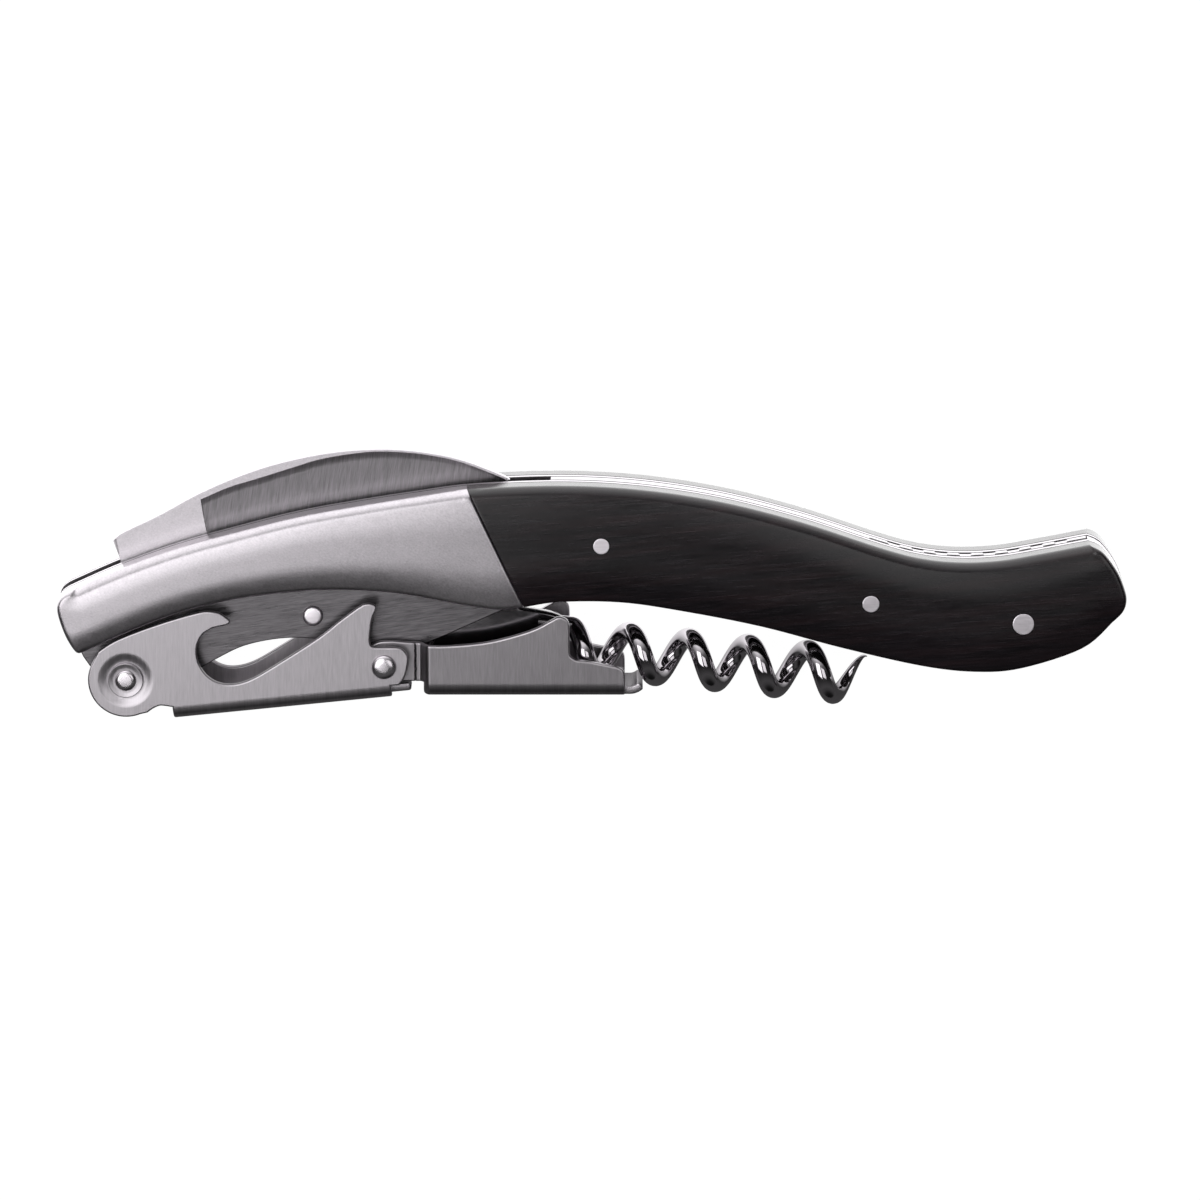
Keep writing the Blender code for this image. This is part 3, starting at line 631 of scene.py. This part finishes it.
def domed_slab(outline, holes, side):
    """A slab with a flat base and an arched outer face, with a rounded edge along the rim."""
    loops = [without_repeats(outline), *holes]
    edges = loop_edges(loops)
    gaps = [centre_and_radius(hole) for hole in holes]
    bm = bmesh.new()
    layers = []
    for points, is_base in (([], True), (face_points(holes, side), False)):
        corners = [Vector(p) for loop in [*loops, points] for p in loop]
        flat, _, faces, *_ = delaunay_2d_cdt(corners, edges, [], 1, 1e-6)
        where = np.array([tuple(p) for p in flat])
        heights = [SIDE_IN] * len(where) if is_base else outer_height(where)
        verts = [bm.verts.new((*p, height)) for p, height in zip(flat, heights)]
        for face in faces:
            middle = where[list(face)].mean(axis=0)
            if all(math.dist(middle, centre) > radius for centre, radius in gaps):
                bm.faces.new([verts[i] for i in face]).material_index = FACE
        layers.append(verts)
    base, outer = layers
    for a, b in edges:
        bm.faces.new((base[a], base[b], outer[b], outer[a])).material_index = EDGE
    face_out(bm)
    return bm


def top_points(first_x, last_x):
    return [p for p in smooth(TOP_LINE) if first_x <= p[0] <= last_x]


def bolster():
    end = joint_line(-JOINT_GAP / 2)
    outline = top_points(NOSE[-1][0], end[0][0] - 0.3) + end + smooth(BOLSTER_BOTTOM)[1:-1]
    outline += smooth(NOSE)[:-1]
    return domed_slab(outline, [], -1)


def scale():
    end = joint_line(JOINT_GAP / 2)
    outline = top_points(end[0][0] + 0.3, 65)[:-1] + smooth(TAIL_END)[:-1] + smooth(SCALE_BOTTOM)[:-1]
    outline += end[::-1]
    holes = [circle(centre, radius + 0.02) for centre, radius in (FRONT_PIN, MIDDLE_PIN, REAR_PIN)]
    return domed_slab(outline, holes, 1)


def liner():
    lobe = arc(LEVER_PIVOT, PIVOT_LOBE, -30, -188)
    outline = smooth(TOP_LINE)[:-1] + smooth(TAIL_END)[:-1] + smooth(SCALE_BOTTOM)[:-1]
    outline += smooth(LINER_BELOW) + lobe + smooth(LINER_FRONT[1:] + NOSE[2:])[:-1]
    holes = [circle(centre, BORE) for centre in (LEVER_PIVOT, BLADE_PIVOT, WORM_PIVOT)]
    holes.append(circle(STOP_RIVET[0], STOP_RIVET[1] + 0.1))
    return soft_plate(outline, LINER_IN, LINER_OUT, holes, soft=0.12, round_tag=THIRD)


def fine_points(points, spacing):
    """The path with more points, no further apart than the spacing."""
    fine = []
    for a, b in zip(points, points[1:]):
        count = max(1, math.ceil(math.dist(a, b) / spacing))
        for i in range(count):
            fine.append((a[0] + (b[0] - a[0]) * i / count, a[1] + (b[1] - a[1]) * i / count))
    return fine + [points[-1]]


def back_spring():
    """The spring along the handle's back. Small lens-shaped cuts run along both edges of its back."""
    back = [(-5.1, 12.64)] + top_points(-5.0, 34.0) + fine_points(top_points(34.1, 59.5), 0.15)
    under = smooth([
        (57.0, 1.75), (50.0, 0.2), (44.5, -0.7), (39.0, 0.3), (32.0, 2.5), (22.0, 6.0), (12.0, 8.2),
    ])  # fmt: skip
    block = smooth([(5.0, 7.0), (3.2, 4.2), (0.4, 3.2), (-4.0, 2.6), (-8.6, 1.9)])
    nose = [(-9.6, 2.6), (-9.4, 4.4), (-7.6, 7.5)]
    outline = back + [(60.0, 5.3), (58.5, 2.4)] + under + block + nose
    hole = circle(FRONT_PIN[0], 1.05)
    bm = soft_plate(outline, -FILLER_HALF, FILLER_HALF, [hole], soft=0.09, round_tag=THIRD)
    for height in (-UNCUT_HALF, UNCUT_HALF):
        geom = bm.verts[:] + bm.edges[:] + bm.faces[:]
        bmesh.ops.bisect_plane(bm, geom=geom, dist=1e-5, plane_co=(0, 0, height), plane_no=(0, 0, 1))
    crest = np.array(back)
    cut = set()
    for vert in bm.verts:
        x, y, z = vert.co
        on_crest = y >= np.interp(x, crest[:, 0], crest[:, 1]) - 0.2
        if not (CUTS_X[0] <= x <= CUTS_X[1] and abs(z) >= UNCUT_HALF + 0.05 and on_crest):
            continue
        step = (x - FIRST_CUT) / CUT_SPACING + (0.5 if z < 0 else 0)
        depth = CUT_DEPTH * max(0, 1 - (abs(step - round(step)) * CUT_SPACING / CUT_HALF) ** 2)
        vert.co.y -= depth
        if depth > 0.03:
            cut.add(vert)
    # Faces in the cuts take the third look, near black: painted shade in the cuts.
    for face in bm.faces:
        if any(vert in cut for vert in face.verts):
            face.material_index = THIRD
    return bm


def flat_pin(centre, radius, half, soft=0.06):
    rise = [(0, half), (radius - soft - 0.03, half), (radius - soft, half)]
    rise += [(radius - 0.3 * soft, half - 0.3 * soft), (radius, half - soft)]
    return turned([(r, -z) for r, z in rise] + rise[::-1], centre)


def domed(centre, shank, head, seat, rise, flat, steps=10):
    """A shank with a head on each side, domed round a flat middle."""
    turns = [math.pi / 2 * i / steps for i in range(steps)]
    dome = [(flat + (head - flat) * math.cos(a), 0.12 + (rise - 0.12) * math.sin(a)) for a in turns]
    dome = [(head - 0.08, 0), (head, 0.05)] + dome + [(flat, rise), (0, rise)]
    upper = [(shank, seat)] + [(r, seat + z) for r, z in dome]
    return turned([(r, -z) for r, z in reversed(upper)] + upper, centre)


DISH_FLOOR = LEVER_HALF - DIMPLE_DEPTH


def pivot_cup():
    """A shallow ring with a raised lip, in the dish round the lever's pivot."""
    lip = [(2.0, 0.05), (2.08, 0.15), (2.12, 0.4), (2.05, 0.47), (1.95, 0.46), (1.7, 0.38), (1.5, 0.36)]
    profile = [(1.2, 0.05)] + lip + [(1.2, 0.36)]
    return turned([(radius, DISH_FLOOR + height) for radius, height in profile], LEVER_PIVOT)


def build_handle():
    # The third look paints the rounded edges of liner and spring near black: painted shade of the gaps
    # between the parts.
    steel = [paints["liner"], paints["edge"], paints["painted_gap_shade"]]
    piece_pair("liner_plate", liner, steel, "handle", "liner")
    piece_pair("bolster_cap", bolster, [paints["bolster"]] * 2, "handle", "bolster")
    piece_pair("wood_side", scale, [paints["wood"]] * 2, "handle", "scale")
    piece("spring_back", back_spring(), steel, "handle", ["back_spring"])
    for name, (centre, radius) in (("front", FRONT_PIN), ("middle", MIDDLE_PIN), ("rear", REAR_PIN)):
        bm = flat_pin(centre, radius, SIDE_OUT)
        piece(f"pin_{name}", bm, [paints["pin"]], "handle", [f"scale_pin_{name}"])
    bm = domed(*STOP_RIVET, STOP_HEAD, LINER_OUT + 0.02, 0.55, flat=0.75)
    piece("liner_rivet", bm, [paints["pin"]], "handle", ["stop_rivet"])
    bm = domed(LEVER_PIVOT, PIVOT_SHANK, PIVOT_HEAD, DISH_FLOOR + 0.02, 0.7, flat=0.7)
    piece("pivot_rivet", bm, [paints["rivet"]], "handle", ["lever_pivot_rivet"])
    piece_pair("pivot_dish", pivot_cup, [paints["lever"]], "handle", "pivot_cup")


# ---------- foil blade ----------

BLADE_BACK = [
    (-58.4, 4.95), (-57.2, 5.95), (-52.8, 8.1), (-47.9, 10.8), (-43.0, 12.95), (-38.2, 14.55),
    (-32.0, 15.85), (-26.0, 16.3), (-21.1, 16.0), (-16.2, 15.05), (-11.3, 13.2), (-10.0, 12.45),
]  # fmt: skip
BLADE_EDGE = [
    (-11.0, 12.0), (-16.0, 10.0), (-22.0, 8.6), (-30.0, 7.4), (-38.0, 6.0), (-46.0, 3.3), (-51.3, 0.3),
]  # fmt: skip
PLUNGE = [(-47.7, 10.1), (-47.35, 7.8), (-46.9, 5.6), (-46.2, 3.15)]
BEVEL_TOP = [
    (-47.7, 10.1), (-44.3, 11.6), (-40.6, 12.75), (-37.0, 13.9), (-33.3, 15.05), (-29.6, 15.72),
    (-26.0, 16.05), (-21.2, 15.77), (-16.4, 14.83), (-11.6, 13.02), (-10.5, 12.45),
]  # fmt: skip
BEVEL_ROWS = 8
BEVEL_COLUMNS = 90
SPINE_HALF = 0.4
EDGE_HALF = 0.12


def resampled(points, count):
    """So many points, evenly spaced along the path."""
    line = np.array(points)
    along = np.concatenate([[0], np.cumsum(np.hypot(*np.diff(line, axis=0).T))])
    at = np.linspace(0, along[-1], count)
    return np.stack([np.interp(at, along, line[:, 0]), np.interp(at, along, line[:, 1])], axis=1)


def bevel_rows(top, low, plunge):
    """Rows of points on the bevel with their heights, from the spine to the edge, starting at the plunge."""
    fade = np.exp(-np.arange(len(top)) / 4.0)[:, None]
    for row in range(BEVEL_ROWS):
        share = row / BEVEL_ROWS
        line = top + (low - top) * share
        line = line + (plunge[row] - line[0]) * fade
        line[0, 0] += 0.08
        if row == 0:
            line[:, 1] -= 0.09
        yield [tuple(p) for p in line[:-1]], BLADE_HALF - 0.05 - 0.3 * share


def inside(loop, point):
    """Whether a point lies in a closed loop, from how often a line to its right crosses it."""
    odd = False
    for a, b in zip(loop, loop[1:] + loop[:1]):
        if (a[1] > point[1]) != (b[1] > point[1]):
            odd ^= point[0] < (b[0] - a[0]) * (point[1] - a[1]) / (b[1] - a[1]) + a[0]
    return odd


def foil_blade():
    """A blade with a full-thickness root and spine, and a bevel ground down to the edge."""
    edge = smooth(BLADE_EDGE)
    ground = [p for p in edge if p[0] > -46.3] + [PLUNGE[-1]]
    spine = smooth(BLADE_BACK)[:-1]
    root = [p for p in edge if p[0] < -46.5] + arc(BLADE_PIVOT, EYE_RADIUS, 15, -195, 24) + [(-57.5, 2.5)]
    outline = spine + ground + root
    hole = circle(BLADE_PIVOT, BORE)
    top, low = resampled(smooth(BEVEL_TOP), BEVEL_COLUMNS), resampled(ground[::-1], BEVEL_COLUMNS)
    plunge = resampled(smooth(PLUNGE), BEVEL_ROWS + 1)
    border = [tuple(p) for p in plunge[::-1]] + [tuple(p) for p in top[1:]]
    rim = offset_loop(outline, math.copysign(0.07, area_of(outline)))[3 : len(spine) - 3]

    groups = [(spine, SPINE_HALF), (ground, EDGE_HALF), (root, BLADE_HALF), (hole, BLADE_HALF)]
    groups += [(border, BLADE_HALF), (rim, BLADE_HALF), *bevel_rows(top, low, plunge)]
    points = [Vector(p) for found, _ in groups for p in found]
    heights = [height for found, height in groups for _ in found]
    walls = loop_edges([outline, hole])
    edges = list(walls)
    first = len(outline) + len(hole)
    for line in (border, rim):
        edges += [(first + i, first + i + 1) for i in range(len(line) - 1)]
        first += len(line)
    flat, _, faces, origins, *_ = delaunay_2d_cdt(points, edges, [], 1, 1e-5)
    high = [heights[found[0]] if found else BLADE_HALF - 0.1 for found in origins]
    bevel = [(p[0], p[1]) for p in border] + ground

    bm = bmesh.new()
    sides = []
    for sign in (1, -1):
        verts = [bm.verts.new((p.x, p.y, sign * h)) for p, h in zip(flat, high)]
        for face in faces:
            middle = sum((flat[i] for i in face), Vector((0, 0))) / len(face)
            if math.dist(middle, BLADE_PIVOT) <= BORE:
                continue
            tag = THIRD if inside(bevel, middle) else FACE
            if min(high[i] for i in face) == SPINE_HALF:
                tag = EDGE
            bm.faces.new([verts[i] for i in face]).material_index = tag
        sides.append(verts)
    upper, lower = sides
    place = {found: i for i, merged in enumerate(origins) for found in merged}
    for a, b in walls:
        a, b = place[a], place[b]
        if a != b:
            bm.faces.new((lower[a], lower[b], upper[b], upper[a])).material_index = EDGE
    loose = [v for v in bm.verts if not v.link_faces]
    bmesh.ops.delete(bm, geom=loose, context="VERTS")
    face_out(bm)
    return bm


def build_blade():
    looks = [paints["blade_root"], paints["blade_spine"], paints["blade_bevel"]]
    piece("blade_plate", foil_blade(), looks, "blade", ["foil_blade"])


# ---------- worm ----------


def worm_path(per_turn=48):
    """The wire's centre line and radii: a straight root inside the tang, the screw, and a point."""
    slope = math.radians(WORM_SLOPE)
    along = Vector((math.cos(slope), math.sin(slope), 0))
    across = Vector((-math.sin(slope), math.cos(slope), 0))
    start = Vector((*WORM_START, 0))
    points = [start + across * WORM_RADIUS - along * 1.4 * d / 4 for d in range(12, 0, -1)]
    radii = [WIRE_RADIUS] * len(points)
    for i in range(round(WORM_TURNS * per_turn) + 1):
        turn = i / per_turn
        angle = 2 * math.pi * turn
        left = WORM_TURNS - turn
        point = across * math.cos(angle) + Vector((0, 0, math.sin(angle) * min(1, turn / 0.25)))
        points.append(start + along * WORM_PITCH * turn + WORM_RADIUS * min(1, 0.95 + left) * point)
        radii.append(WIRE_RADIUS * min(1, 0.06 + 0.94 * (max(0, left) / POINT_TURNS) ** 0.85))
    return points, radii


def worm_tang():
    """The flat root that turns on the worm's pin, between the liners."""
    eye = arc(WORM_PIVOT, EYE_RADIUS, 205, 20)
    arm = smooth([(-8.9, -3.3), (-4.3, -4.2), (-3.2, -5.6), (-3.9, -7.2)])
    arm += smooth([(-8.0, -8.9), (-14.0, -9.2), (-19.0, -8.6), (-19.6, -7.2)])
    return soft_plate(eye + arm, -TANG_HALF, TANG_HALF, [circle(WORM_PIVOT, BORE)], soft=0.35)


def build_worm():
    piece("worm_wire", tube(*worm_path(), 32), [paints["worm"]], "worm", ["worm"])
    piece("worm_root", worm_tang(), [paints["root"]] * 2, "worm", ["worm"])


# ---------- the two lever stages ----------


class Fold:
    """A flat sheet folded into a channel. The web lies along a line, and a plate stands up at each side.

    In the flat pattern x runs along the web and y across it, from the middle of the web.
    The pattern's z is the depth into the sheet from its outer face.
    """

    def __init__(self, origin, slope):
        self.origin = Vector(origin)
        self.along = Vector((math.cos(math.radians(slope)), math.sin(math.radians(slope))))
        self.up = Vector((-self.along.y, self.along.x))
        self.flat_half = LEVER_HALF - BEND_OUT
        self.middle_radius = BEND_OUT - SHEET / 2
        self.bend_end = self.flat_half + self.middle_radius * math.pi / 2

    def unfold(self, point):
        """Where a point of the upper plate lies in the flat pattern."""
        offset = Vector(point) - self.origin
        return (offset.dot(self.along), self.bend_end + offset.dot(self.up) - BEND_OUT)

    def eye(self, centre, rings=(), bore=PIVOT_SHANK + 0.08):
        """A hole for a hinge pin in the upper plate, in rings from the outermost inwards."""
        return [[self.unfold(p) for p in circle(centre, r)] for r in (*rings, bore)]

    def creases(self):
        """The lines of the pattern along which it is cut, so that it can bend there."""
        width = self.bend_end - self.flat_half
        bends = [self.flat_half + width * i / BEND_STEPS for i in range(BEND_STEPS + 1)]
        return [self.flat_half - 0.15] + bends + [self.bend_end + 0.15]

    def place(self, co, press):
        """Folds one point of the pattern. press gives how far a plate is pressed inwards at x and y."""
        across = abs(co.y)
        if across <= self.flat_half:
            height, out = co.z, across
        elif across < self.bend_end and co.x > -1e-6:
            turn = (across - self.flat_half) / self.middle_radius
            radius = BEND_OUT - co.z
            height, out = BEND_OUT - radius * math.cos(turn), self.flat_half + radius * math.sin(turn)
        else:
            height, out = BEND_OUT + across - self.bend_end, LEVER_HALF - co.z
        flat = self.origin + self.along * co.x + self.up * height
        out -= press(flat)
        return Vector((*flat, math.copysign(out, co.y)))


def folded_sheet(fold, half_outline, eyes, press, cuts=()):
    """Folds the pattern whose half above the centre line is given, in pattern coordinates."""
    other = [(x, -y) for x, y in reversed(half_outline)]
    both = eyes + [[[(x, -y) for x, y in ring] for ring in rings] for rings in eyes]
    bm = soft_plate(half_outline + other, 0, SHEET, eyes=both, soft=0.2)
    planes = [((0, side, 0), (0, 1, 0)) for y in fold.creases() for side in (y, -y)]
    planes += [((x, 0, 0), (1, 0, 0)) for x in cuts]
    for where, square in planes:
        geom = bm.verts[:] + bm.edges[:] + bm.faces[:]
        bmesh.ops.bisect_plane(bm, geom=geom, dist=1e-5, plane_co=where, plane_no=square)
    bmesh.ops.triangulate(bm, faces=bm.faces[:])
    for vert in bm.verts:
        vert.co = fold.place(vert.co, press)
    face_out(bm)
    return bm


def first_stage():
    """The inner stage: a crown-cap mouth behind a hook, a tooth, and ears for the two hinges."""
    fold = Fold((-51.0, -16.3), 5.75)
    web_end, tongue_end, tongue_half, slot_end = 26.7, 29.0, 1.9, 22.8
    notch = smooth([(-51.3, -14.7), (-51.9, -14.6), (-52.7, -14.55), (-53.5, -14.9), (-54.2, -15.4)])
    lobe = arc(LEVER_PIVOT, 4.6, -68, -200)
    back = smooth([
        (-60.1, -7.8), (-57.7, -6.3), (-52.8, -4.4), (-47.9, -2.95), (-46.3, -2.85), (-45.2, -3.1),
    ])  # fmt: skip
    hook = smooth([(-44.5, -3.6), (-44.1, -3.95), (-44.1, -4.25), (-44.5, -4.5)], 4)
    mouth = smooth([
        (-46.1, -4.85), (-47.4, -5.7), (-48.1, -7.3), (-47.9, -9.3), (-46.6, -11.1), (-44.5, -11.9),
        (-41.8, -11.35), (-38.2, -9.25), (-33.3, -6.05), (-30.9, -4.1), (-28.5, -2.3),
    ])  # fmt: skip
    tooth = smooth([
        (-27.9, -1.95), (-27.2, -1.85), (-26.5, -2.05), (-26.3, -2.5), (-26.8, -3.8), (-27.1, -6.3),
    ])  # fmt: skip
    tooth += smooth([(-27.05, -6.8), (-26.9, -7.15), (-26.5, -7.3)], 3)
    ear = smooth([
        (-24.2, -7.3), (-23.2, -7.5), (-22.5, -8.4), (-22.5, -9.4), (-22.9, -11.0), (-23.6, -12.0),
    ])  # fmt: skip
    plate = notch + lobe + back + hook + mouth + tooth + ear
    half = [(0, fold.flat_half), (0, fold.bend_end)] + [fold.unfold(p) for p in plate]
    slot_side = fold.flat_half - 0.15
    half += [(web_end, fold.bend_end), (web_end, slot_side), (slot_end, slot_side)]
    corner = [(tongue_end - 0.5, tongue_half), (tongue_end - 0.1, tongue_half - 0.15)]
    half += [(slot_end, tongue_half)] + smooth(corner + [(tongue_end, tongue_half - 0.6)], 4)
    far, near = DIMPLE_RADII
    rings = [far + 0.1] + [far + (near - far) * i / 7 for i in range(8)]
    eyes = [fold.eye(LEVER_PIVOT, rings), fold.eye(KNUCKLE)]

    def press(point):
        return DIMPLE_DEPTH * ease((far - math.dist(point, LEVER_PIVOT)) / (far - near))

    return folded_sheet(fold, half, eyes, press)


def second_stage():
    """The outer stage: a neck joggled in to the knuckle, an ear, a step and a curled lip."""
    fold = Fold((-20.6, -13.45), 0)
    web_end = 24.5
    neck = [(-21.2, -11.88), (-23.7, -11.9)] + arc(KNUCKLE, 2.75, -54, -270, 28)
    top = smooth([
        (-24.4, -6.88), (-22.3, -7.05), (-20.4, -7.1), (-17.4, -7.1), (-12.6, -6.6), (-7.7, -5.25),
        (-5.2, -4.0),
    ])  # fmt: skip
    ear = smooth([(-4.4, -3.55), (-3.6, -3.6), (-2.9, -4.4), (-2.85, -7.5), (-2.7, -8.4), (-2.0, -8.9)])
    step = smooth([(-0.4, -9.05), (1.5, -9.45), (3.1, -9.8), (3.8, -10.4), (3.9, -11.84)])
    plate = neck + top + ear + step
    half = [(0, fold.flat_half), (0, fold.bend_end)] + [fold.unfold(p) for p in plate]
    half += [(web_end, fold.bend_end), (web_end, fold.flat_half)]
    half += [(LIP_START + LIP_LENGTH, fold.flat_half)]
    low, high = JOGGLE_X

    def press(point):
        groove = 0.12 * ease(1 - abs(point.x - SEAM_X) / 0.16)
        return JOGGLE_DEPTH * ease((high - point.x) / (high - low)) + groove

    cuts = [low + (high - low) * i / 8 for i in range(-1, 10)]
    cuts += [SEAM_X + aside for aside in (-0.16, 0, 0.16)]
    cuts = [x - fold.origin.x for x in cuts]
    cuts += [LIP_START + LIP_LENGTH * i / 10 for i in range(11)]
    bm = folded_sheet(fold, half, [fold.eye(KNUCKLE)], press, cuts)
    curl_lip(bm, fold)
    return bm


def curl_lip(bm, fold):
    """Bends the web's free end up round a line across it."""
    start = fold.origin.x + LIP_START
    base = fold.origin.y
    for vert in bm.verts:
        beyond = vert.co.x - start
        if beyond > 1e-6:
            turn = beyond / (LIP_RADIUS - SHEET / 2)
            radius = LIP_RADIUS - (vert.co.y - base)
            vert.co.x = start + radius * math.sin(turn)
            vert.co.y = base + LIP_RADIUS - radius * math.cos(turn)


def build_levers():
    looks = [paints["lever"], paints["edge"]]
    piece("lever_inner", first_stage(), looks, "lever_first", ["lever_first_stage"])
    # The second stage's steel is a darker copy of the first stage's: painted shade.
    looks = [paints["lever_outer"], paints["edge"]]
    piece("lever_outer", second_stage(), looks, "lever_second", ["lever_second_stage"])
    bm = domed(KNUCKLE, PIVOT_SHANK, KNUCKLE_HEAD, LEVER_HALF + 0.01, 0.68, flat=0.5)
    piece("knuckle_pin", bm, [paints["rivet"]], "lever_first", ["knuckle_rivet"])


# ---------- what stays as the CAD has it ----------


def dress_nodes():
    looks = {"tail_spacer": ("edge", "liner_steel")}
    for name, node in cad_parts.items():
        if node.hide_render:
            continue
        look, slot = looks.get(name, ("inner", "inner_steel"))
        for own in node.material_slots:
            own.material = paints[look]


# ---------- floor, light and camera ----------


def seen_or_lit(tree, seen, lit):
    """Emission that the camera sees as one brightness, and the object as another."""
    path = tree.nodes.new("ShaderNodeLightPath")
    mixed = tree.nodes.new("ShaderNodeMix")
    tree.links.new(path.outputs["Is Camera Ray"], mixed.inputs["Factor"])
    mixed.inputs["B"].default_value = seen
    tree.links.new(lit, mixed.inputs["A"])
    return mixed.outputs["Result"]


def build_floor():
    """A pale floor. On the lever's side the object sees it as dark, as behind a black card."""
    size = 2.5
    mesh = bpy.data.meshes.new("floor")
    corners = [(x * size, y * size, -0.00005) for x, y in ((-1, -1), (1, -1), (1, 1), (-1, 1))]
    mesh.from_pydata(corners, [], [(0, 1, 2, 3)])
    floor = bpy.data.objects.new("floor", mesh)
    bpy.context.scene.collection.objects.link(floor)
    paint = Paint("floor_look", Roughness=0.9, Specular_IOR_Level=0.0, Emission_Color=(1, 1, 1, 1))
    spots = paint.noise((40, 40, 40), 0)
    paint.set("Base Color", paint.ramp(spots, [(0.3, (0.09, 0.09, 0.09)), (0.7, (0.1, 0.1, 0.1))]))
    across = paint.node("ShaderNodeSeparateXYZ", {0: paint.place}).outputs["Y"]
    lit = paint.remap(across, FLOOR_FADE[0] * MM, FLOOR_FADE[1] * MM, *FLOOR_LIGHT)
    paint.set("Emission Strength", seen_or_lit(paint.tree, FLOOR_SEEN, lit))
    mesh.materials.append(paint.material)
    floor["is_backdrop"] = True


def build_sky():
    """A soft studio sky. SKY gives its brightness along SKY_RUN, from the lever's side to behind the back."""
    world = bpy.data.worlds.new("studio")
    world.use_nodes = True
    bpy.context.scene.world = world
    tree = world.node_tree
    place = tree.nodes.new("ShaderNodeTexCoord")
    lean = tree.nodes.new("ShaderNodeVectorMath")
    lean.operation = "DOT_PRODUCT"
    lean.inputs[1].default_value = SKY_RUN
    tree.links.new(place.outputs["Generated"], lean.inputs[0])
    share = tree.nodes.new("ShaderNodeMapRange")
    share.inputs["From Min"].default_value = -1
    share.inputs["From Max"].default_value = 1
    tree.links.new(lean.outputs["Value"], share.inputs["Value"])
    ramp = tree.nodes.new("ShaderNodeValToRGB")
    elements = ramp.color_ramp.elements
    for position, _ in SKY[1:-1]:
        elements.new(position)
    for position, value in SKY:
        nearest = min(elements, key=lambda element: abs(element.position - position))
        nearest.color = (value, value * 0.995, value, 1)
    tree.links.new(share.outputs["Result"], ramp.inputs["Fac"])
    background = tree.nodes["Background"]
    background.inputs["Color"].default_value = (1, 1, 1, 1)
    tree.links.new(seen_or_lit(tree, SKY_SEEN, ramp.outputs["Color"]), background.inputs["Strength"])


def area_light(name, place, size, energy):
    light = bpy.data.lights.new(name, "AREA")
    light.shape = "RECTANGLE"
    light.size, light.size_y = size
    light.energy = energy
    made = bpy.data.objects.new(name, light)
    bpy.context.scene.collection.objects.link(made)
    made.location = (*place, LIGHT_HEIGHT)
    made.visible_camera = False


def build_camera():
    """A long lens, nearly square above the tool's side and a little behind its back."""
    level = math.sqrt(1 - VIEW_LEAN**2)
    view = Vector((0, VIEW_LEAN, level))
    up = Vector((0, level, -VIEW_LEAN))
    data = bpy.data.cameras.new("camera")
    data.sensor_width = 36
    data.lens = data.sensor_width * DISTANCE / VIEW_WIDTH
    data.clip_start = 0.05
    camera = bpy.data.objects.new("camera", data)
    bpy.context.scene.collection.objects.link(camera)
    turn = Matrix((Vector((1, 0, 0)), up, view)).transposed().to_4x4()
    camera.matrix_world = Matrix.Translation(Vector(TARGET) + view * DISTANCE) @ turn
    bpy.context.scene.camera = camera


build_handle()
build_blade()
build_worm()
build_levers()
dress_nodes()
build_floor()
build_sky()
area_light("key", *KEY)
area_light("tail_fill", *TAIL_FILL)
build_camera()
bpy.context.scene.view_settings.view_transform = "Standard"

boxes = [[list(corner) for corner in box] for box in (cad_box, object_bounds())]
